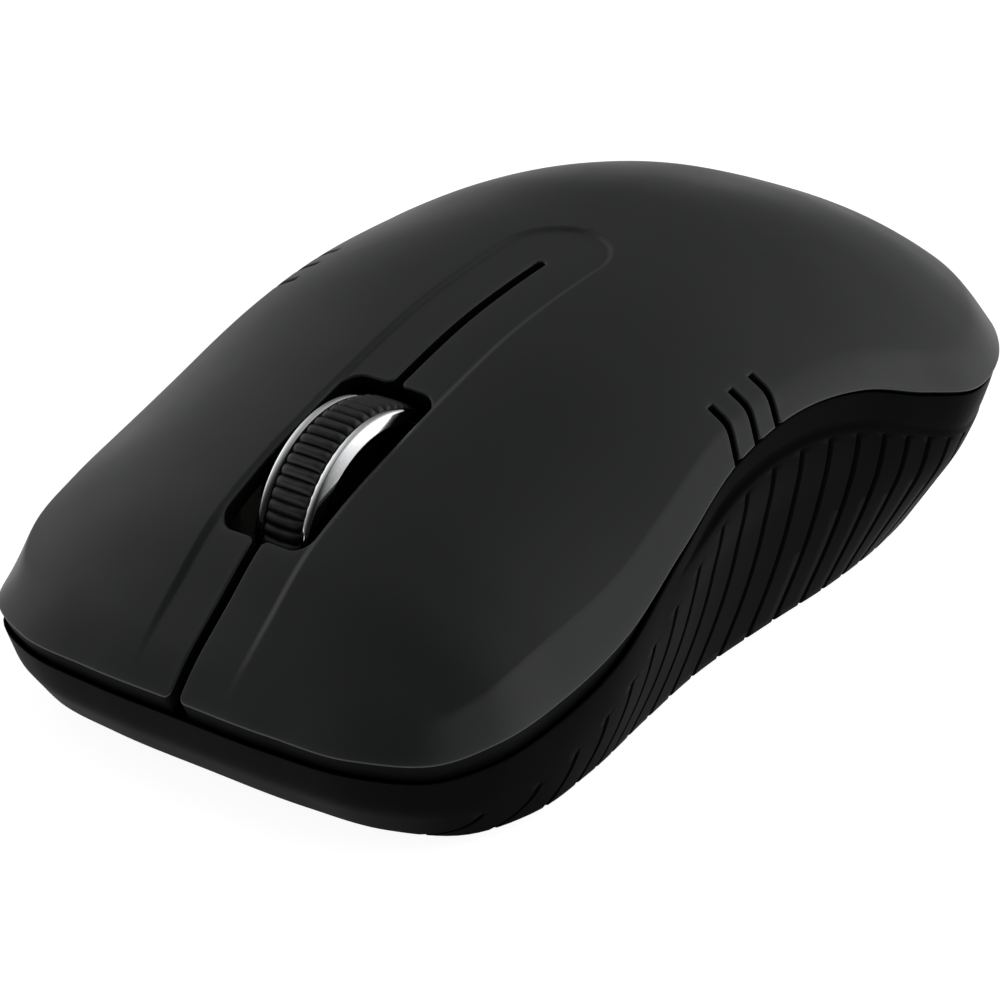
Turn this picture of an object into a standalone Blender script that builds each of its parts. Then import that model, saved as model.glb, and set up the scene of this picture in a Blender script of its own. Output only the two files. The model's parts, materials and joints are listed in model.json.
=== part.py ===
"""A compact wireless notebook mouse, taken apart into the pieces it is assembled from.

Blender 4.5.  Metres, +Z up.  The origin is on the table under the middle of the mouse, the
nose (buttons and wheel) points to -Y and the tail to +Y, so the user's left hand side is +X.
All driving dimensions below are in millimetres and are turned into metres by MM.
"""
import math

import bmesh
import bpy
import numpy as np
from mathutils import Matrix, Vector

MM = 0.001
GAP = 0.3                    # between pieces that touch each other

# ---- outer form --------------------------------------------------------------------------
# Lower edge of the top cover, one side from nose to tail: x, y, z.
COVER_EDGE = (
    (0.0, -50.0, 9.9), (10.0, -49.9, 9.9), (19.0, -48.8, 9.9), (25.4, -45.6, 9.8),
    (28.2, -40.4, 10.0), (28.9, -32.0, 11.0), (29.3, -24.0, 13.4), (28.8, -15.0, 18.0),
    (28.0, -5.0, 22.7), (28.2, 4.0, 24.1), (29.3, 13.0, 22.9), (31.2, 20.5, 20.1),
    (32.4, 27.0, 18.3), (30.7, 33.5, 18.0), (26.6, 39.6, 18.0), (19.5, 44.9, 17.7),
    (10.5, 48.7, 17.2), (0.0, 50.0, 17.0),
)
# Lower edge of the grip skirt, where the mouse meets its base plate: x, y.
BASE_EDGE = (
    (0.0, -45.8), (11.0, -45.6), (18.9, -44.5), (24.7, -41.3), (27.3, -35.0), (27.2, -27.0),
    (25.8, -17.0), (24.6, -7.0), (24.6, 4.0), (24.9, 14.0), (24.2, 24.0), (22.6, 31.8),
    (19.0, 39.0), (11.5, 44.6), (0.0, 46.5),
)
# Height of the cover along its spine, and how far it falls from the spine to SIDE_REACH.
SPINE = (
    (-50.0, 10.5), (-47.4, 12.9), (-43.0, 16.7), (-38.3, 20.5), (-33.0, 23.2), (-26.0, 25.8),
    (-18.0, 28.3), (-9.0, 30.6), (0.0, 31.8), (12.0, 32.3), (22.0, 32.0), (31.0, 30.2),
    (38.0, 27.7), (44.0, 24.2), (50.0, 17.4),
)
SIDE_FALL = ((-50.0, 4.3), (-38.0, 8.0), (-25.0, 9.9), (0.0, 8.4), (20.0, 9.2), (35.0, 9.9),
             (50.0, 11.5))
SIDE_REACH = 30.0
SIDE_POWER = 2.4
SPINE_REACH = 0.72           # the rows of the cover close up on the spine at this share of its length
FACET_SIDE = 1.9             # width in plan of the facet that runs round the cover's edge
FACET_NOSE = 2.6
WALL = 1.5                   # cover wall thickness

# ---- buttons, slot and wheel opening -----------------------------------------------------
SPLIT_Y = 4.0                # the buttons end here and bend about HINGE
SPLIT_GAP = 0.35
HINGE = (0.0, SPLIT_Y, 29.0)
SLOT_HALF = 0.6
OPENING_HALF = 5.0
OPENING_Y = (-37.8, -18.2)
OPENING_CORNER = 2.2
NOTCH_Y = (-5.2, -2.1, 1.0)  # three bent notches in the edge of each button
NOTCH_WIDTH = 0.9
POST_SIZE = 2.4
POST_TOP = 19.6

# ---- skirt and base ----------------------------------------------------------------------
SKIRT_INSET = 0.45
SKIRT_WALL = 1.6
SKIRT_BOTTOM = 1.0
DRAW_POWER = 1.4             # how the skirt draws in from its lip to its foot
LIP_SLOPE = 2.3              # how far the top of the skirt falls towards its inside
SEAM_GAP = 0.6               # between cover and skirt along the sides and tail
NOSE_GAP = 1.9               # under the buttons, which need room to travel
PLATE_BOTTOM = 0.9
PLATE_TOP = 2.5
PLATE_INSET = SKIRT_WALL + GAP
RIM_WALL = 1.2
RIM_TOP = 8.2
DOOR_HALF = 18.0
DOOR_FRONT = -4.0
DOOR_TOP = 2.2
FOOT_TOP = PLATE_BOTTOM - GAP

# ---- wheel -------------------------------------------------------------------------------
WHEEL = (0.0, -24.6, 16.9)
WHEEL_R = 11.0
TREAD_HALF = 2.0
AXLE_R = 1.2

# ---- board and what stands on it ---------------------------------------------------------
BOARD_Z = (6.6, 7.8)
BOARD_TOP = BOARD_Z[1] + GAP
SWITCH_X = 17.0
SWITCH_Y = -31.5
SWITCH_SIZE = (5.8, 12.8, 6.5)
PLUNGER_Y = -33.5
PLUNGER_TOP = 15.3
SENSOR_Y = -10.4
SCREW_BOARD = (17.0, -11.5)
SCREW_CASE = (20.4, 12.0)

# ---- battery bay -------------------------------------------------------------------------
CELL_R = 5.15
CELL_LENGTH = 44.5
CELL_Y = -3.0
CELL_X = 5.5
CELL_Z = 8.2
BAY_TOP = 18.9

SIDES = (("left", 1.0), ("right", -1.0))

# colour, roughness, metallic
SOFT_BLACK = ((0.028, 0.029, 0.031), 0.55, 0.0)
GRIP_BLACK = ((0.012, 0.012, 0.013), 0.42, 0.0)
SHELL_BLACK = ((0.016, 0.016, 0.017), 0.40, 0.0)
RUBBER = ((0.020, 0.020, 0.021), 0.62, 0.0)
CHROME = ((0.90, 0.90, 0.91), 0.08, 1.0)
STEEL = ((0.62, 0.62, 0.64), 0.28, 1.0)
GLIDE = ((0.05, 0.05, 0.052), 0.35, 0.0)
BOARD_GREEN = ((0.03, 0.16, 0.07), 0.45, 0.0)
CHIP_BLACK = ((0.02, 0.02, 0.022), 0.50, 0.0)
SWITCH_RED = ((0.45, 0.03, 0.02), 0.40, 0.0)
SWITCH_WHITE = ((0.75, 0.74, 0.70), 0.45, 0.0)
CLEAR = ((0.85, 0.87, 0.90), 0.06, 0.0)
LED_RED = ((0.75, 0.05, 0.03), 0.15, 0.0)
CELL_WRAP = ((0.10, 0.11, 0.12), 0.30, 0.3)


def clear_scene():
    for obj in list(bpy.data.objects):
        bpy.data.objects.remove(obj, do_unlink=True)


# ---- curves ------------------------------------------------------------------------------
def smooth(knots, values, at):
    """The smooth curve through values at knots, with slopes taken from the neighbours."""
    knots = np.asarray(knots, float)
    values = np.asarray(values, float)
    columns = values.reshape(len(knots), -1)
    at = np.asarray(at, float)
    span = np.diff(knots)[:, None]
    rise = np.diff(columns, axis=0) / span
    inner = (rise[:-1] * span[1:] + rise[1:] * span[:-1]) / (span[1:] + span[:-1])
    slope = np.vstack((rise[:1], inner, rise[-1:]))
    i = np.clip(np.searchsorted(knots, at, side="right") - 1, 0, len(knots) - 2)
    t = ((at - knots[i]) / span[i, 0])[:, None]
    curve = (columns[i] * (1 + 2 * t) * (1 - t) ** 2 + slope[i] * span[i] * t * (1 - t) ** 2
             + columns[i + 1] * t ** 2 * (3 - 2 * t) + slope[i + 1] * span[i] * t ** 2 * (t - 1))
    return curve[:, 0] if values.ndim == 1 else curve


def half_outline(points, count):
    """count + 1 evenly spaced points from nose to tail along the smooth half outline."""
    points = np.asarray(points, float)
    mirror = np.ones(points.shape[1])
    mirror[0] = -1.0
    chain = np.vstack((points[1] * mirror, points, points[-2] * mirror))
    knots = np.append(0.0, np.cumsum(np.linalg.norm(np.diff(chain, axis=0), axis=1)))
    dense = smooth(knots, chain, np.linspace(knots[1], knots[-2], 600))
    run = np.append(0.0, np.cumsum(np.linalg.norm(np.diff(dense, axis=0), axis=1)))
    even = np.linspace(0.0, run[-1], count + 1)
    return np.stack([np.interp(even, run, column) for column in dense.T], axis=1)


def full_loop(half):
    """A half outline from nose to tail, carried on round the other side back to the nose."""
    mirror = np.ones(half.shape[1])
    mirror[0] = -1.0
    return np.vstack((half, (half * mirror)[-2:0:-1]))


def inset(loop, distance):
    """A closed plan loop moved inwards by distance, which may differ from point to point."""
    ahead = np.roll(loop[:, :2], -1, axis=0) - np.roll(loop[:, :2], 1, axis=0)
    ahead /= np.linalg.norm(ahead, axis=1)[:, None]
    inwards = np.stack((-ahead[:, 1], ahead[:, 0]), axis=1)
    moved = loop.copy()
    moved[:, :2] += inwards * np.reshape(distance, (-1, 1))
    return moved


def ramp(value, start, end):
    t = np.clip((value - start) / (end - start), 0.0, 1.0)
    return t * t * (3 - 2 * t)


def cover_height(x, y):
    """Height of the cover's top surface inside the facet."""
    spine = smooth(*zip(*SPINE), y)
    fall = smooth(*zip(*SIDE_FALL), y)
    return spine - fall * (np.abs(x) / SIDE_REACH) ** SIDE_POWER


# ---- mesh helpers ------------------------------------------------------------------------
def material(name, look):
    colour, roughness, metallic = look
    made = bpy.data.materials.new(name)
    made.use_nodes = True
    shader = made.node_tree.nodes["Principled BSDF"]
    shader.inputs["Base Color"].default_value = (*colour, 1.0)
    shader.inputs["Roughness"].default_value = roughness
    shader.inputs["Metallic"].default_value = metallic
    made.diffuse_color = (*colour, 1.0)
    return made


def new_object(name, mesh_data, look=None, pivot=(0.0, 0.0, 0.0)):
    """An object whose origin is at pivot, from a bmesh in millimetres."""
    bmesh.ops.remove_doubles(mesh_data, verts=mesh_data.verts, dist=1e-4)
    bmesh.ops.recalc_face_normals(mesh_data, faces=mesh_data.faces)
    mesh = bpy.data.meshes.new(name)
    mesh_data.to_mesh(mesh)
    mesh_data.free()
    mesh.transform(Matrix.Scale(MM, 4) @ Matrix.Translation(-Vector(pivot)))
    made = bpy.data.objects.new(name, mesh)
    made.location = Vector(pivot) * MM
    bpy.context.collection.objects.link(made)
    if look:
        mesh.materials.append(material(name, look))
    else:
        made.hide_render = True
        made.display_type = "WIRE"
    return made


def boolean(target, other, operation="DIFFERENCE"):
    modifier = target.modifiers.new(other.name, "BOOLEAN")
    modifier.operation = operation
    modifier.solver = "EXACT"
    modifier.object = other


def bevel(target, width, segments=2):
    modifier = target.modifiers.new("edges", "BEVEL")
    modifier.width = width * MM
    modifier.segments = segments
    modifier.limit_method = "ANGLE"
    modifier.angle_limit = math.radians(40)


def round_shading(target, angle=35.0):
    target.data.shade_smooth()
    target.data.set_sharp_from_angle(angle=math.radians(angle))


def box(name, low, high, look=None, pivot=(0.0, 0.0, 0.0)):
    low, high = Vector(low), Vector(high)
    data = bmesh.new()
    bmesh.ops.create_cube(data, size=1.0)
    bmesh.ops.scale(data, vec=high - low, verts=data.verts)
    bmesh.ops.translate(data, vec=(low + high) / 2, verts=data.verts)
    return new_object(name, data, look, pivot)


def prism(name, outline, low, high, look=None, pivot=(0.0, 0.0, 0.0), turn=None):
    """A plan outline extruded from low to high, then turned by a matrix if one is given."""
    data = bmesh.new()
    face = data.faces.new([data.verts.new((x, y, low)) for x, y in outline])
    grown = bmesh.ops.extrude_face_region(data, geom=[face])
    top = [item for item in grown["geom"] if isinstance(item, bmesh.types.BMVert)]
    bmesh.ops.translate(data, vec=(0.0, 0.0, high - low), verts=top)
    if turn:
        bmesh.ops.transform(data, matrix=turn, verts=data.verts)
    return new_object(name, data, look, pivot)


def turned(name, profile, place, look=None, steps=24, ring=False, pivot=(0.0, 0.0, 0.0)):
    """A profile of radius and height spun round Z, then moved by the matrix place."""
    data = bmesh.new()
    verts = [data.verts.new((radius, 0.0, height)) for radius, height in profile]
    edges = [data.edges.new(pair) for pair in zip(verts, verts[1:])]
    if ring:
        edges.append(data.edges.new((verts[-1], verts[0])))
    bmesh.ops.spin(data, geom=verts + edges, axis=(0, 0, 1), cent=(0, 0, 0),
                   angle=2 * math.pi, steps=steps, use_merge=True)
    bmesh.ops.transform(data, matrix=place, verts=data.verts)
    made = new_object(name, data, look, pivot)
    round_shading(made)
    return made


def rod(name, radius, low, high, place=Matrix(), look=None, steps=24, pivot=(0.0, 0.0, 0.0)):
    """A plain round rod along Z from low to high."""
    profile = ((0.0, low), (radius, low), (radius, high), (0.0, high))
    return turned(name, profile, place, look, steps, pivot=pivot)


def loft(loops, closed):
    """A bmesh of quads between plan loops; closed joins the last loop to the first."""
    data = bmesh.new()
    rows = [[data.verts.new(point) for point in loop] for loop in loops]
    pairs = list(zip(rows, rows[1:]))
    if closed:
        pairs.append((rows[-1], rows[0]))
    for upper, lower in pairs:
        count = len(upper)
        for i in range(count):
            j = (i + 1) % count
            data.faces.new((upper[i], upper[j], lower[j], lower[i]))
    return data


def rounded_rectangle(centre, size, corner, steps=3):
    points = []
    for turn, (sx, sy) in enumerate(((1, 1), (-1, 1), (-1, -1), (1, -1))):
        for step in range(steps + 1):
            angle = math.radians(90 * (turn + step / steps))
            points.append((centre[0] + sx * (size[0] / 2 - corner) + corner * math.cos(angle),
                           centre[1] + sy * (size[1] / 2 - corner) + corner * math.sin(angle)))
    return points


def along_x(at):
    """Turns what was made along Z so that it runs along X, and moves it to a point."""
    return Matrix.Translation(at) @ Matrix.Rotation(math.pi / 2, 4, "Y")


def along_y(at):
    return Matrix.Translation(at) @ Matrix.Rotation(-math.pi / 2, 4, "X")


# ---- top cover and buttons ---------------------------------------------------------------
def cover_sheet():
    """The cover's outer surface as a bmesh, from the spine out to its lower edge."""
    edge = full_loop(half_outline(COVER_EDGE, 36))
    facet = FACET_SIDE + (FACET_NOSE - FACET_SIDE) * ramp(edge[:, 1], -40.0, -47.0)
    crease = inset(edge, facet)
    loops = []
    for share in (0.0, 0.25, 0.5, 0.75, 0.9, 1.0):
        x = crease[:, 0] * share
        y = crease[:, 1] * (SPINE_REACH + (1 - SPINE_REACH) * share)
        loops.append(np.stack((x, y, cover_height(x, y)), axis=1))
    loops.append((loops[-1] + edge) / 2)
    loops.append(edge)
    return loft(loops, closed=False)


def cover_blank(name, look, cuts, pivot=(0.0, 0.0, 0.0)):
    """The cover's wall with what lies beyond each plane, a point and a direction, cut away."""
    sheet = cover_sheet()
    bmesh.ops.remove_doubles(sheet, verts=sheet.verts, dist=1e-4)
    for point, direction in cuts:
        geometry = sheet.verts[:] + sheet.edges[:] + sheet.faces[:]
        bmesh.ops.bisect_plane(sheet, geom=geometry, dist=1e-5, plane_co=point,
                               plane_no=direction, clear_outer=True)
    made = new_object(name, sheet, look, pivot)
    outwards = sum(face.normal.z * face.area for face in made.data.polygons)
    if outwards < 0:
        made.data.flip_normals()
    round_shading(made, 24.0)
    shell = made.modifiers.new("wall", "SOLIDIFY")
    shell.thickness = WALL * MM
    shell.offset = -1.0
    shell.use_even_offset = True
    return made


def notch_cutter(name, side, y):
    """One bent notch: it climbs the facet and turns in over the top of the button."""
    half = NOTCH_WIDTH / 2
    centre = ((32.0, y - 1.7), (28.4, y - 0.7), (26.0, y + 0.9), (23.8, y + 1.2))
    outline = [(side * x, at - half) for x, at in centre]
    outline += [(side * x, at + half) for x, at in reversed(centre)]
    return prism(name, outline, 18.0, 34.0)


def palm_cover():
    cuts = [((0, SPLIT_Y + SPLIT_GAP, 0), (0, -1, 0))]
    made = cover_blank("palm_cover", SOFT_BLACK, cuts)
    for side_name, side in SIDES:
        x, y = SCREW_CASE
        at = Matrix.Translation((side * x, y, 0))
        boolean(made, rod(f"palm_column_{side_name}", 2.2, PLATE_TOP + GAP, 27.0, at), "UNION")
        boolean(made, rod(f"palm_bore_{side_name}", 1.2, 0.0, 9.5, at, steps=16))


def button(side_name, side):
    """A key plate with its post over the microswitch; it bends about the split line."""
    name = f"{side_name}_button"
    cuts = [((0, SPLIT_Y, 0), (0, 1, 0)), ((side * SLOT_HALF, 0, 0), (-side, 0, 0))]
    made = cover_blank(name, SOFT_BLACK, cuts, HINGE)
    x = side * SWITCH_X
    half = POST_SIZE / 2
    post = box(f"{name}_post", (x - half, PLUNGER_Y - half, PLUNGER_TOP + GAP),
               (x + half, PLUNGER_Y + half, POST_TOP))
    boolean(made, post, "UNION")
    front, back = OPENING_Y
    opening = rounded_rectangle((0.0, (front + back) / 2), (2 * OPENING_HALF, back - front),
                                OPENING_CORNER)
    boolean(made, prism(f"{name}_opening_cutter", opening, 5.0, 40.0))
    for number, y in enumerate(NOTCH_Y):
        boolean(made, notch_cutter(f"{name}_notch_{number}", side, y))


# ---- skirt, base plate, door and feet ----------------------------------------------------
def grip_skirt():
    """The black side wall, from the lip under the cover's edge down to the base."""
    edge = full_loop(half_outline(COVER_EDGE, 40))
    base = full_loop(half_outline(BASE_EDGE, 40))
    nose = ramp(edge[:, 1], -8.0, -28.0)
    lip = inset(edge, SKIRT_INSET)
    lip[:, 2] -= SEAM_GAP + (NOSE_GAP - SEAM_GAP) * nose
    outer = []
    for depth in (0.0, 0.16, 0.5, 0.78, 1.0):
        drift = depth ** DRAW_POWER
        plan = lip[:, :2] * (1 - drift) + base * drift
        height = lip[:, 2] * (1 - depth) + SKIRT_BOTTOM * depth
        outer.append(np.column_stack((plan, height)))
    inner = [inset(loop, SKIRT_WALL) for loop in reversed(outer)]
    inner[-1][:, 2] -= LIP_SLOPE
    made = new_object("grip_skirt", loft(outer + inner, closed=True), GRIP_BLACK)
    round_shading(made)
    cutter = box("skirt_door_cutter", (-DOOR_HALF - GAP, 30, 0), (DOOR_HALF + GAP, 60, 2.6))
    boolean(made, cutter)


def base_plate():
    """The floor of the mouse, with a rim round the board and a cut-out for the door."""
    base = full_loop(half_outline(BASE_EDGE, 30))
    outline = inset(base, PLATE_INSET)
    made = prism("base_plate", outline, PLATE_BOTTOM, RIM_TOP, SHELL_BLACK)
    pocket = inset(base, PLATE_INSET + RIM_WALL)
    boolean(made, prism("plate_pocket", pocket, PLATE_TOP, 20.0))
    boolean(made, box("plate_rear_step", (-40, -7, PLATE_TOP), (40, 60, 20)))
    reach = DOOR_HALF + GAP
    boolean(made, box("plate_door_cutter", (-reach, DOOR_FRONT - GAP, 0), (reach, 60, 3)))
    window = rounded_rectangle((0.0, SENSOR_Y), (8.0, 6.0), 2.9)
    boolean(made, prism("plate_sensor_window", window, 0.0, 4.0))
    slot = rounded_rectangle((13.0, -21.0), (3.4, 6.4), 0.6)
    boolean(made, prism("plate_switch_slot", slot, 0.0, 4.0))
    for side_name, side in SIDES:
        x, y = SCREW_BOARD
        at = Matrix.Translation((side * x, y, 0))
        boolean(made, rod(f"plate_boss_{side_name}", 2.3, 1.8, BOARD_Z[0] - GAP, at), "UNION")
        boolean(made, rod(f"plate_boss_bore_{side_name}", 1.2, 2.2, 10.0, at, steps=16))
        x, y = SCREW_CASE
        at = Matrix.Translation((side * x, y, 0))
        boolean(made, rod(f"plate_head_bore_{side_name}", 2.2, 0.0, 1.8, at))
        boolean(made, rod(f"plate_shank_bore_{side_name}", 1.2, 0.0, 4.0, at, steps=16))


def battery_door():
    """It slides back out from under the tail."""
    tail = [(x, y) for x, y in full_loop(half_outline(BASE_EDGE, 60)) if abs(x) < DOOR_HALF and y > 0]
    outline = [(DOOR_HALF, DOOR_FRONT)] + tail + [(-DOOR_HALF, DOOR_FRONT)]
    made = prism("battery_door", outline, PLATE_BOTTOM, DOOR_TOP, SHELL_BLACK)
    bevel(made, 0.25, 1)


def glide_feet():
    places = (("front_left_foot", (14.5, -37.5), (13.0, 4.2)),
              ("front_right_foot", (-14.5, -37.5), (13.0, 4.2)),
              ("rear_left_foot", (20.4, 13.0), (3.8, 17.0)),
              ("rear_right_foot", (-20.4, 13.0), (3.8, 17.0)))
    for name, centre, size in places:
        outline = rounded_rectangle(centre, size, 1.8, steps=5)
        prism(name, outline, 0.0, FOOT_TOP, GLIDE)


# ---- scroll wheel ------------------------------------------------------------------------
def scroll_wheel():
    place = along_x(WHEEL)
    hub = ((1.5, -2.7), (3.4, -2.7), (3.8, -2.0), (7.4, -2.0), (8.3, -2.7), (8.3, -1.9),
           (8.7, -1.9), (8.7, 1.9), (8.3, 1.9), (8.3, 2.7), (7.4, 2.0), (3.8, 2.0),
           (3.4, 2.7), (1.5, 2.7))
    turned("wheel_hub", hub, place, SHELL_BLACK, 40, ring=True, pivot=WHEEL)
    soft = 0.35
    tread = ((9.0, -TREAD_HALF), (WHEEL_R - soft, -TREAD_HALF), (WHEEL_R, -TREAD_HALF + soft),
             (WHEEL_R, TREAD_HALF - soft), (WHEEL_R - soft, TREAD_HALF), (9.0, TREAD_HALF))
    turned("wheel_tread", tread, place, RUBBER, 48, ring=True, pivot=WHEEL)
    for side_name, side in SIDES:
        near = TREAD_HALF + GAP
        rim = [(8.6, near), (10.6, near), (10.75, near + 0.2), (9.5, near + 0.9), (8.6, near + 0.9)]
        rim = [(radius, side * height) for radius, height in rim]
        turned(f"{side_name}_wheel_rim", rim, place, CHROME, 48, ring=True, pivot=WHEEL)
    rod("wheel_axle", AXLE_R, -12.3, 7.2, place, STEEL, pivot=WHEEL)


def wheel_carrier():
    """The yoke that holds the axle: it drops a little when the wheel is clicked."""
    profile = ((-9.2, 14.0), (-5.8, 14.0), (-5.8, 3.6), (5.8, 3.6), (5.8, 12.8), (12.4, 12.8),
               (12.4, 14.2), (5.8, 14.2), (5.8, 19.2), (4.6, 19.2), (4.6, 4.8), (-4.6, 4.8),
               (-4.6, 19.2), (-5.8, 19.2), (-5.8, 15.2), (-9.2, 15.2))
    turn = Matrix.Translation((0, WHEEL[1] + 2.8, 0)) @ Matrix.Rotation(math.pi / 2, 4, "X")
    made = prism("wheel_carrier", profile, 0.0, 5.6, SHELL_BLACK, WHEEL, turn)
    boolean(made, rod("carrier_bore", AXLE_R + GAP, -8.0, 8.0, along_x(WHEEL)))


def coil_spring(name, axis_at, radius, wire, low, high, turns, look, turn=None):
    """A wire coil along Z, as a curve with a round bevel and closed ends."""
    curve = bpy.data.curves.new(name, "CURVE")
    curve.dimensions = "3D"
    curve.bevel_depth = wire * MM
    curve.bevel_resolution = 1
    curve.use_fill_caps = True
    count = turns * 12
    spline = curve.splines.new("POLY")
    spline.points.add(count)
    place = Matrix.Translation(axis_at) @ (turn or Matrix())
    for i in range(count + 1):
        angle = 2 * math.pi * turns * i / count
        height = low + (high - low) * i / count
        point = place @ Vector((radius * math.cos(angle), radius * math.sin(angle), height))
        spline.points[i].co = (*(point * MM), 1.0)
    made = bpy.data.objects.new(name, curve)
    bpy.context.collection.objects.link(made)
    curve.materials.append(material(name, look))


def scroll_encoder():
    y, z = WHEEL[1:]
    made = box("scroll_encoder", (-13.4, y - 4.6, BOARD_TOP), (-9.7, y + 4.6, 20.4), SWITCH_WHITE)
    boolean(made, rod("encoder_bore", 1.9, -20.0, 5.0, along_x((0.0, y, z)), steps=20))


# ---- board -------------------------------------------------------------------------------
def circuit_board():
    outline = ((-14.0, -41.5), (14.0, -41.5), (20.5, -36.0), (20.5, -6.4), (-20.5, -6.4),
               (-20.5, -36.0))
    made = prism("circuit_board", outline, *BOARD_Z, BOARD_GREEN)
    y = WHEEL[1]
    boolean(made, box("board_wheel_cutter", (-6.3, y - 8.0, 0), (6.3, y + 8.0, 20)))
    boolean(made, box("board_light_cutter", (-3.0, SENSOR_Y - 2.0, 0), (3.0, SENSOR_Y + 2.0, 20)))
    for side_name, side in SIDES:
        x, y = SCREW_BOARD
        at = Matrix.Translation((side * x, y, 0))
        boolean(made, rod(f"board_bore_{side_name}", 1.3, 0.0, 20.0, at, steps=16))


def key_switch(side_name, side):
    """A microswitch whose plunger stands under the post of its button."""
    x = side * SWITCH_X
    across, along, tall = (size / 2 for size in SWITCH_SIZE)
    body = box(f"{side_name}_switch_body", (x - across, SWITCH_Y - along, BOARD_TOP),
               (x + across, SWITCH_Y + along, BOARD_TOP + 2 * tall), CHIP_BLACK)
    boolean(body, box(f"{side_name}_switch_well", (x - 1.1, PLUNGER_Y - 1.3, 12.0),
                      (x + 1.1, PLUNGER_Y + 1.3, 20.0)))
    box(f"{side_name}_switch_plunger", (x - 0.7, PLUNGER_Y - 0.9, 12.6),
        (x + 0.7, PLUNGER_Y + 0.9, PLUNGER_TOP), SWITCH_RED, (x, PLUNGER_Y, PLUNGER_TOP))


def wheel_switch():
    """The push switch under the arm of the wheel carrier."""
    x, y = 10.4, WHEEL[1]
    body = box("wheel_switch_body", (x - 3.0, y - 3.0, BOARD_TOP), (x + 3.0, y + 3.0, 11.2), STEEL)
    boolean(body, rod("wheel_switch_well", 1.9, 9.6, 20.0, Matrix.Translation((x, y, 0))))
    rod("wheel_switch_plunger", 1.5, 10.2, 12.4, Matrix.Translation((x, y, 0)), CHIP_BLACK, 20,
        (x, y, 12.4))


def sensor_and_chips():
    y = SENSOR_Y
    box("optical_sensor", (-4.9, y - 3.8, BOARD_TOP), (4.9, y + 3.8, 11.4), CHIP_BLACK)
    lens = box("sensor_lens", (-6.0, y - 3.6, 2.8), (6.0, y + 3.6, BOARD_Z[0] - GAP), CLEAR)
    bevel(lens, 0.5)
    dome = [(2.3 * math.cos(math.radians(a)), 4.4 + 2.3 * math.sin(math.radians(a)))
            for a in range(0, 91, 18)]
    lamp = [(0.0, 0.0), (2.6, 0.0), (2.6, 0.9), (2.3, 0.9)] + dome[:-1] + [(0.0, 6.7)]
    place = Matrix.Translation((12.6, y, 11.0)) @ Matrix.Rotation(-math.pi / 2, 4, "Y")
    turned("sensor_lamp", lamp, place, LED_RED, 20)
    box("radio_chip", (-18.0, -23.0, BOARD_TOP), (-14.0, -19.0, 9.2), CHIP_BLACK)
    crystal = prism("clock_crystal", rounded_rectangle((17.0, -20.5), (3.4, 8.0), 1.6),
                    BOARD_TOP, 11.0, STEEL)
    bevel(crystal, 0.3)
    can = ((0.0, 0.0), (2.5, 0.0), (2.5, 5.9), (2.2, 6.2), (0.0, 6.2))
    turned("supply_capacitor", can, Matrix.Translation((-9.5, -38.0, BOARD_TOP)), CHIP_BLACK, 20)


def power_switch():
    body = box("power_switch_body", (10.8, -25.4, 3.4), (15.2, -16.6, BOARD_Z[0] - GAP), STEEL)
    boolean(body, box("power_switch_well", (11.9, -23.7, 0.0), (14.1, -18.3, 5.2)))
    slider = box("power_switch_slider", (12.2, -23.3, 0.7), (13.8, -20.5, 4.9), SWITCH_WHITE,
                 (13.0, -21.9, 1.5))
    bevel(slider, 0.2, 1)


def screws():
    for side_name, side in SIDES:
        x, y = SCREW_CASE
        profile = ((0.0, 0.95), (1.9, 0.95), (1.9, 1.5), (0.9, 1.5), (0.9, 8.6), (0.0, 9.0))
        turned(f"{side_name}_case_screw", profile, Matrix.Translation((side * x, y, 0)), STEEL, 16)
        x, y = SCREW_BOARD
        profile = ((0.0, 9.4), (1.2, 9.3), (1.9, 8.8), (1.9, BOARD_TOP), (0.9, BOARD_TOP),
                   (0.9, 3.2), (0.0, 2.8))
        turned(f"{side_name}_board_screw", profile, Matrix.Translation((side * x, y, 0)), STEEL, 16)


# ---- battery bay and receiver ------------------------------------------------------------
def battery_bay():
    """An open-bottomed box over the cells, with a pocket for the receiver beside them."""
    outer = ((-18.2, -6.1), (18.2, -6.1), (18.2, 31.0), (12.0, 43.2), (-12.0, 43.2),
             (-18.2, 31.0))
    made = prism("battery_bay", outer, PLATE_TOP + GAP, BAY_TOP, SHELL_BLACK)
    boolean(made, box("bay_cell_cutter", (-11.0, -5.1, 0), (11.0, 42.4, BAY_TOP - 4.6)))
    boolean(made, box("bay_receiver_cutter", (11.7, 4.0, 0), (17.4, 26.5, BAY_TOP - 1.2)))


def battery_cells():
    r = CELL_R
    profile = ((0.0, 0.0), (3.6, 0.0), (4.0, 0.25), (r - 0.3, 0.25), (r, 0.6), (r, 43.2),
               (r - 0.5, 43.7), (2.0, 43.7), (1.9, CELL_LENGTH - 0.2), (1.7, CELL_LENGTH),
               (0.0, CELL_LENGTH))
    for side_name, side in SIDES:
        turn = along_y((side * CELL_X, CELL_Y, CELL_Z))
        if side < 0:
            flip = Matrix.Translation((0, 0, CELL_LENGTH)) @ Matrix.Rotation(math.pi, 4, "X")
            turn = turn @ flip
        turned(f"{side_name}_battery_cell", profile, turn, CELL_WRAP, 24)
    turn = Matrix.Rotation(-math.pi / 2, 4, "X")
    coil_spring("left_battery_spring", (CELL_X, 0, CELL_Z), 2.2, 0.25, -4.55, -3.55, 2, STEEL, turn)
    coil_spring("right_battery_spring", (-CELL_X, 0, CELL_Z), 2.2, 0.25, 41.75 + 0.3, 42.1, 2,
                STEEL, turn)


def receiver():
    box("receiver_cap", (11.95, 5.0, 3.0), (17.1, 11.4, 17.0), SHELL_BLACK)
    plug = box("receiver_plug", (12.3, 11.7, 4.0), (16.8, 23.7, 16.0), STEEL)
    boolean(plug, box("receiver_plug_mouth", (13.0, 15.0, 4.7), (16.1, 30.0, 15.3)))


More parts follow.
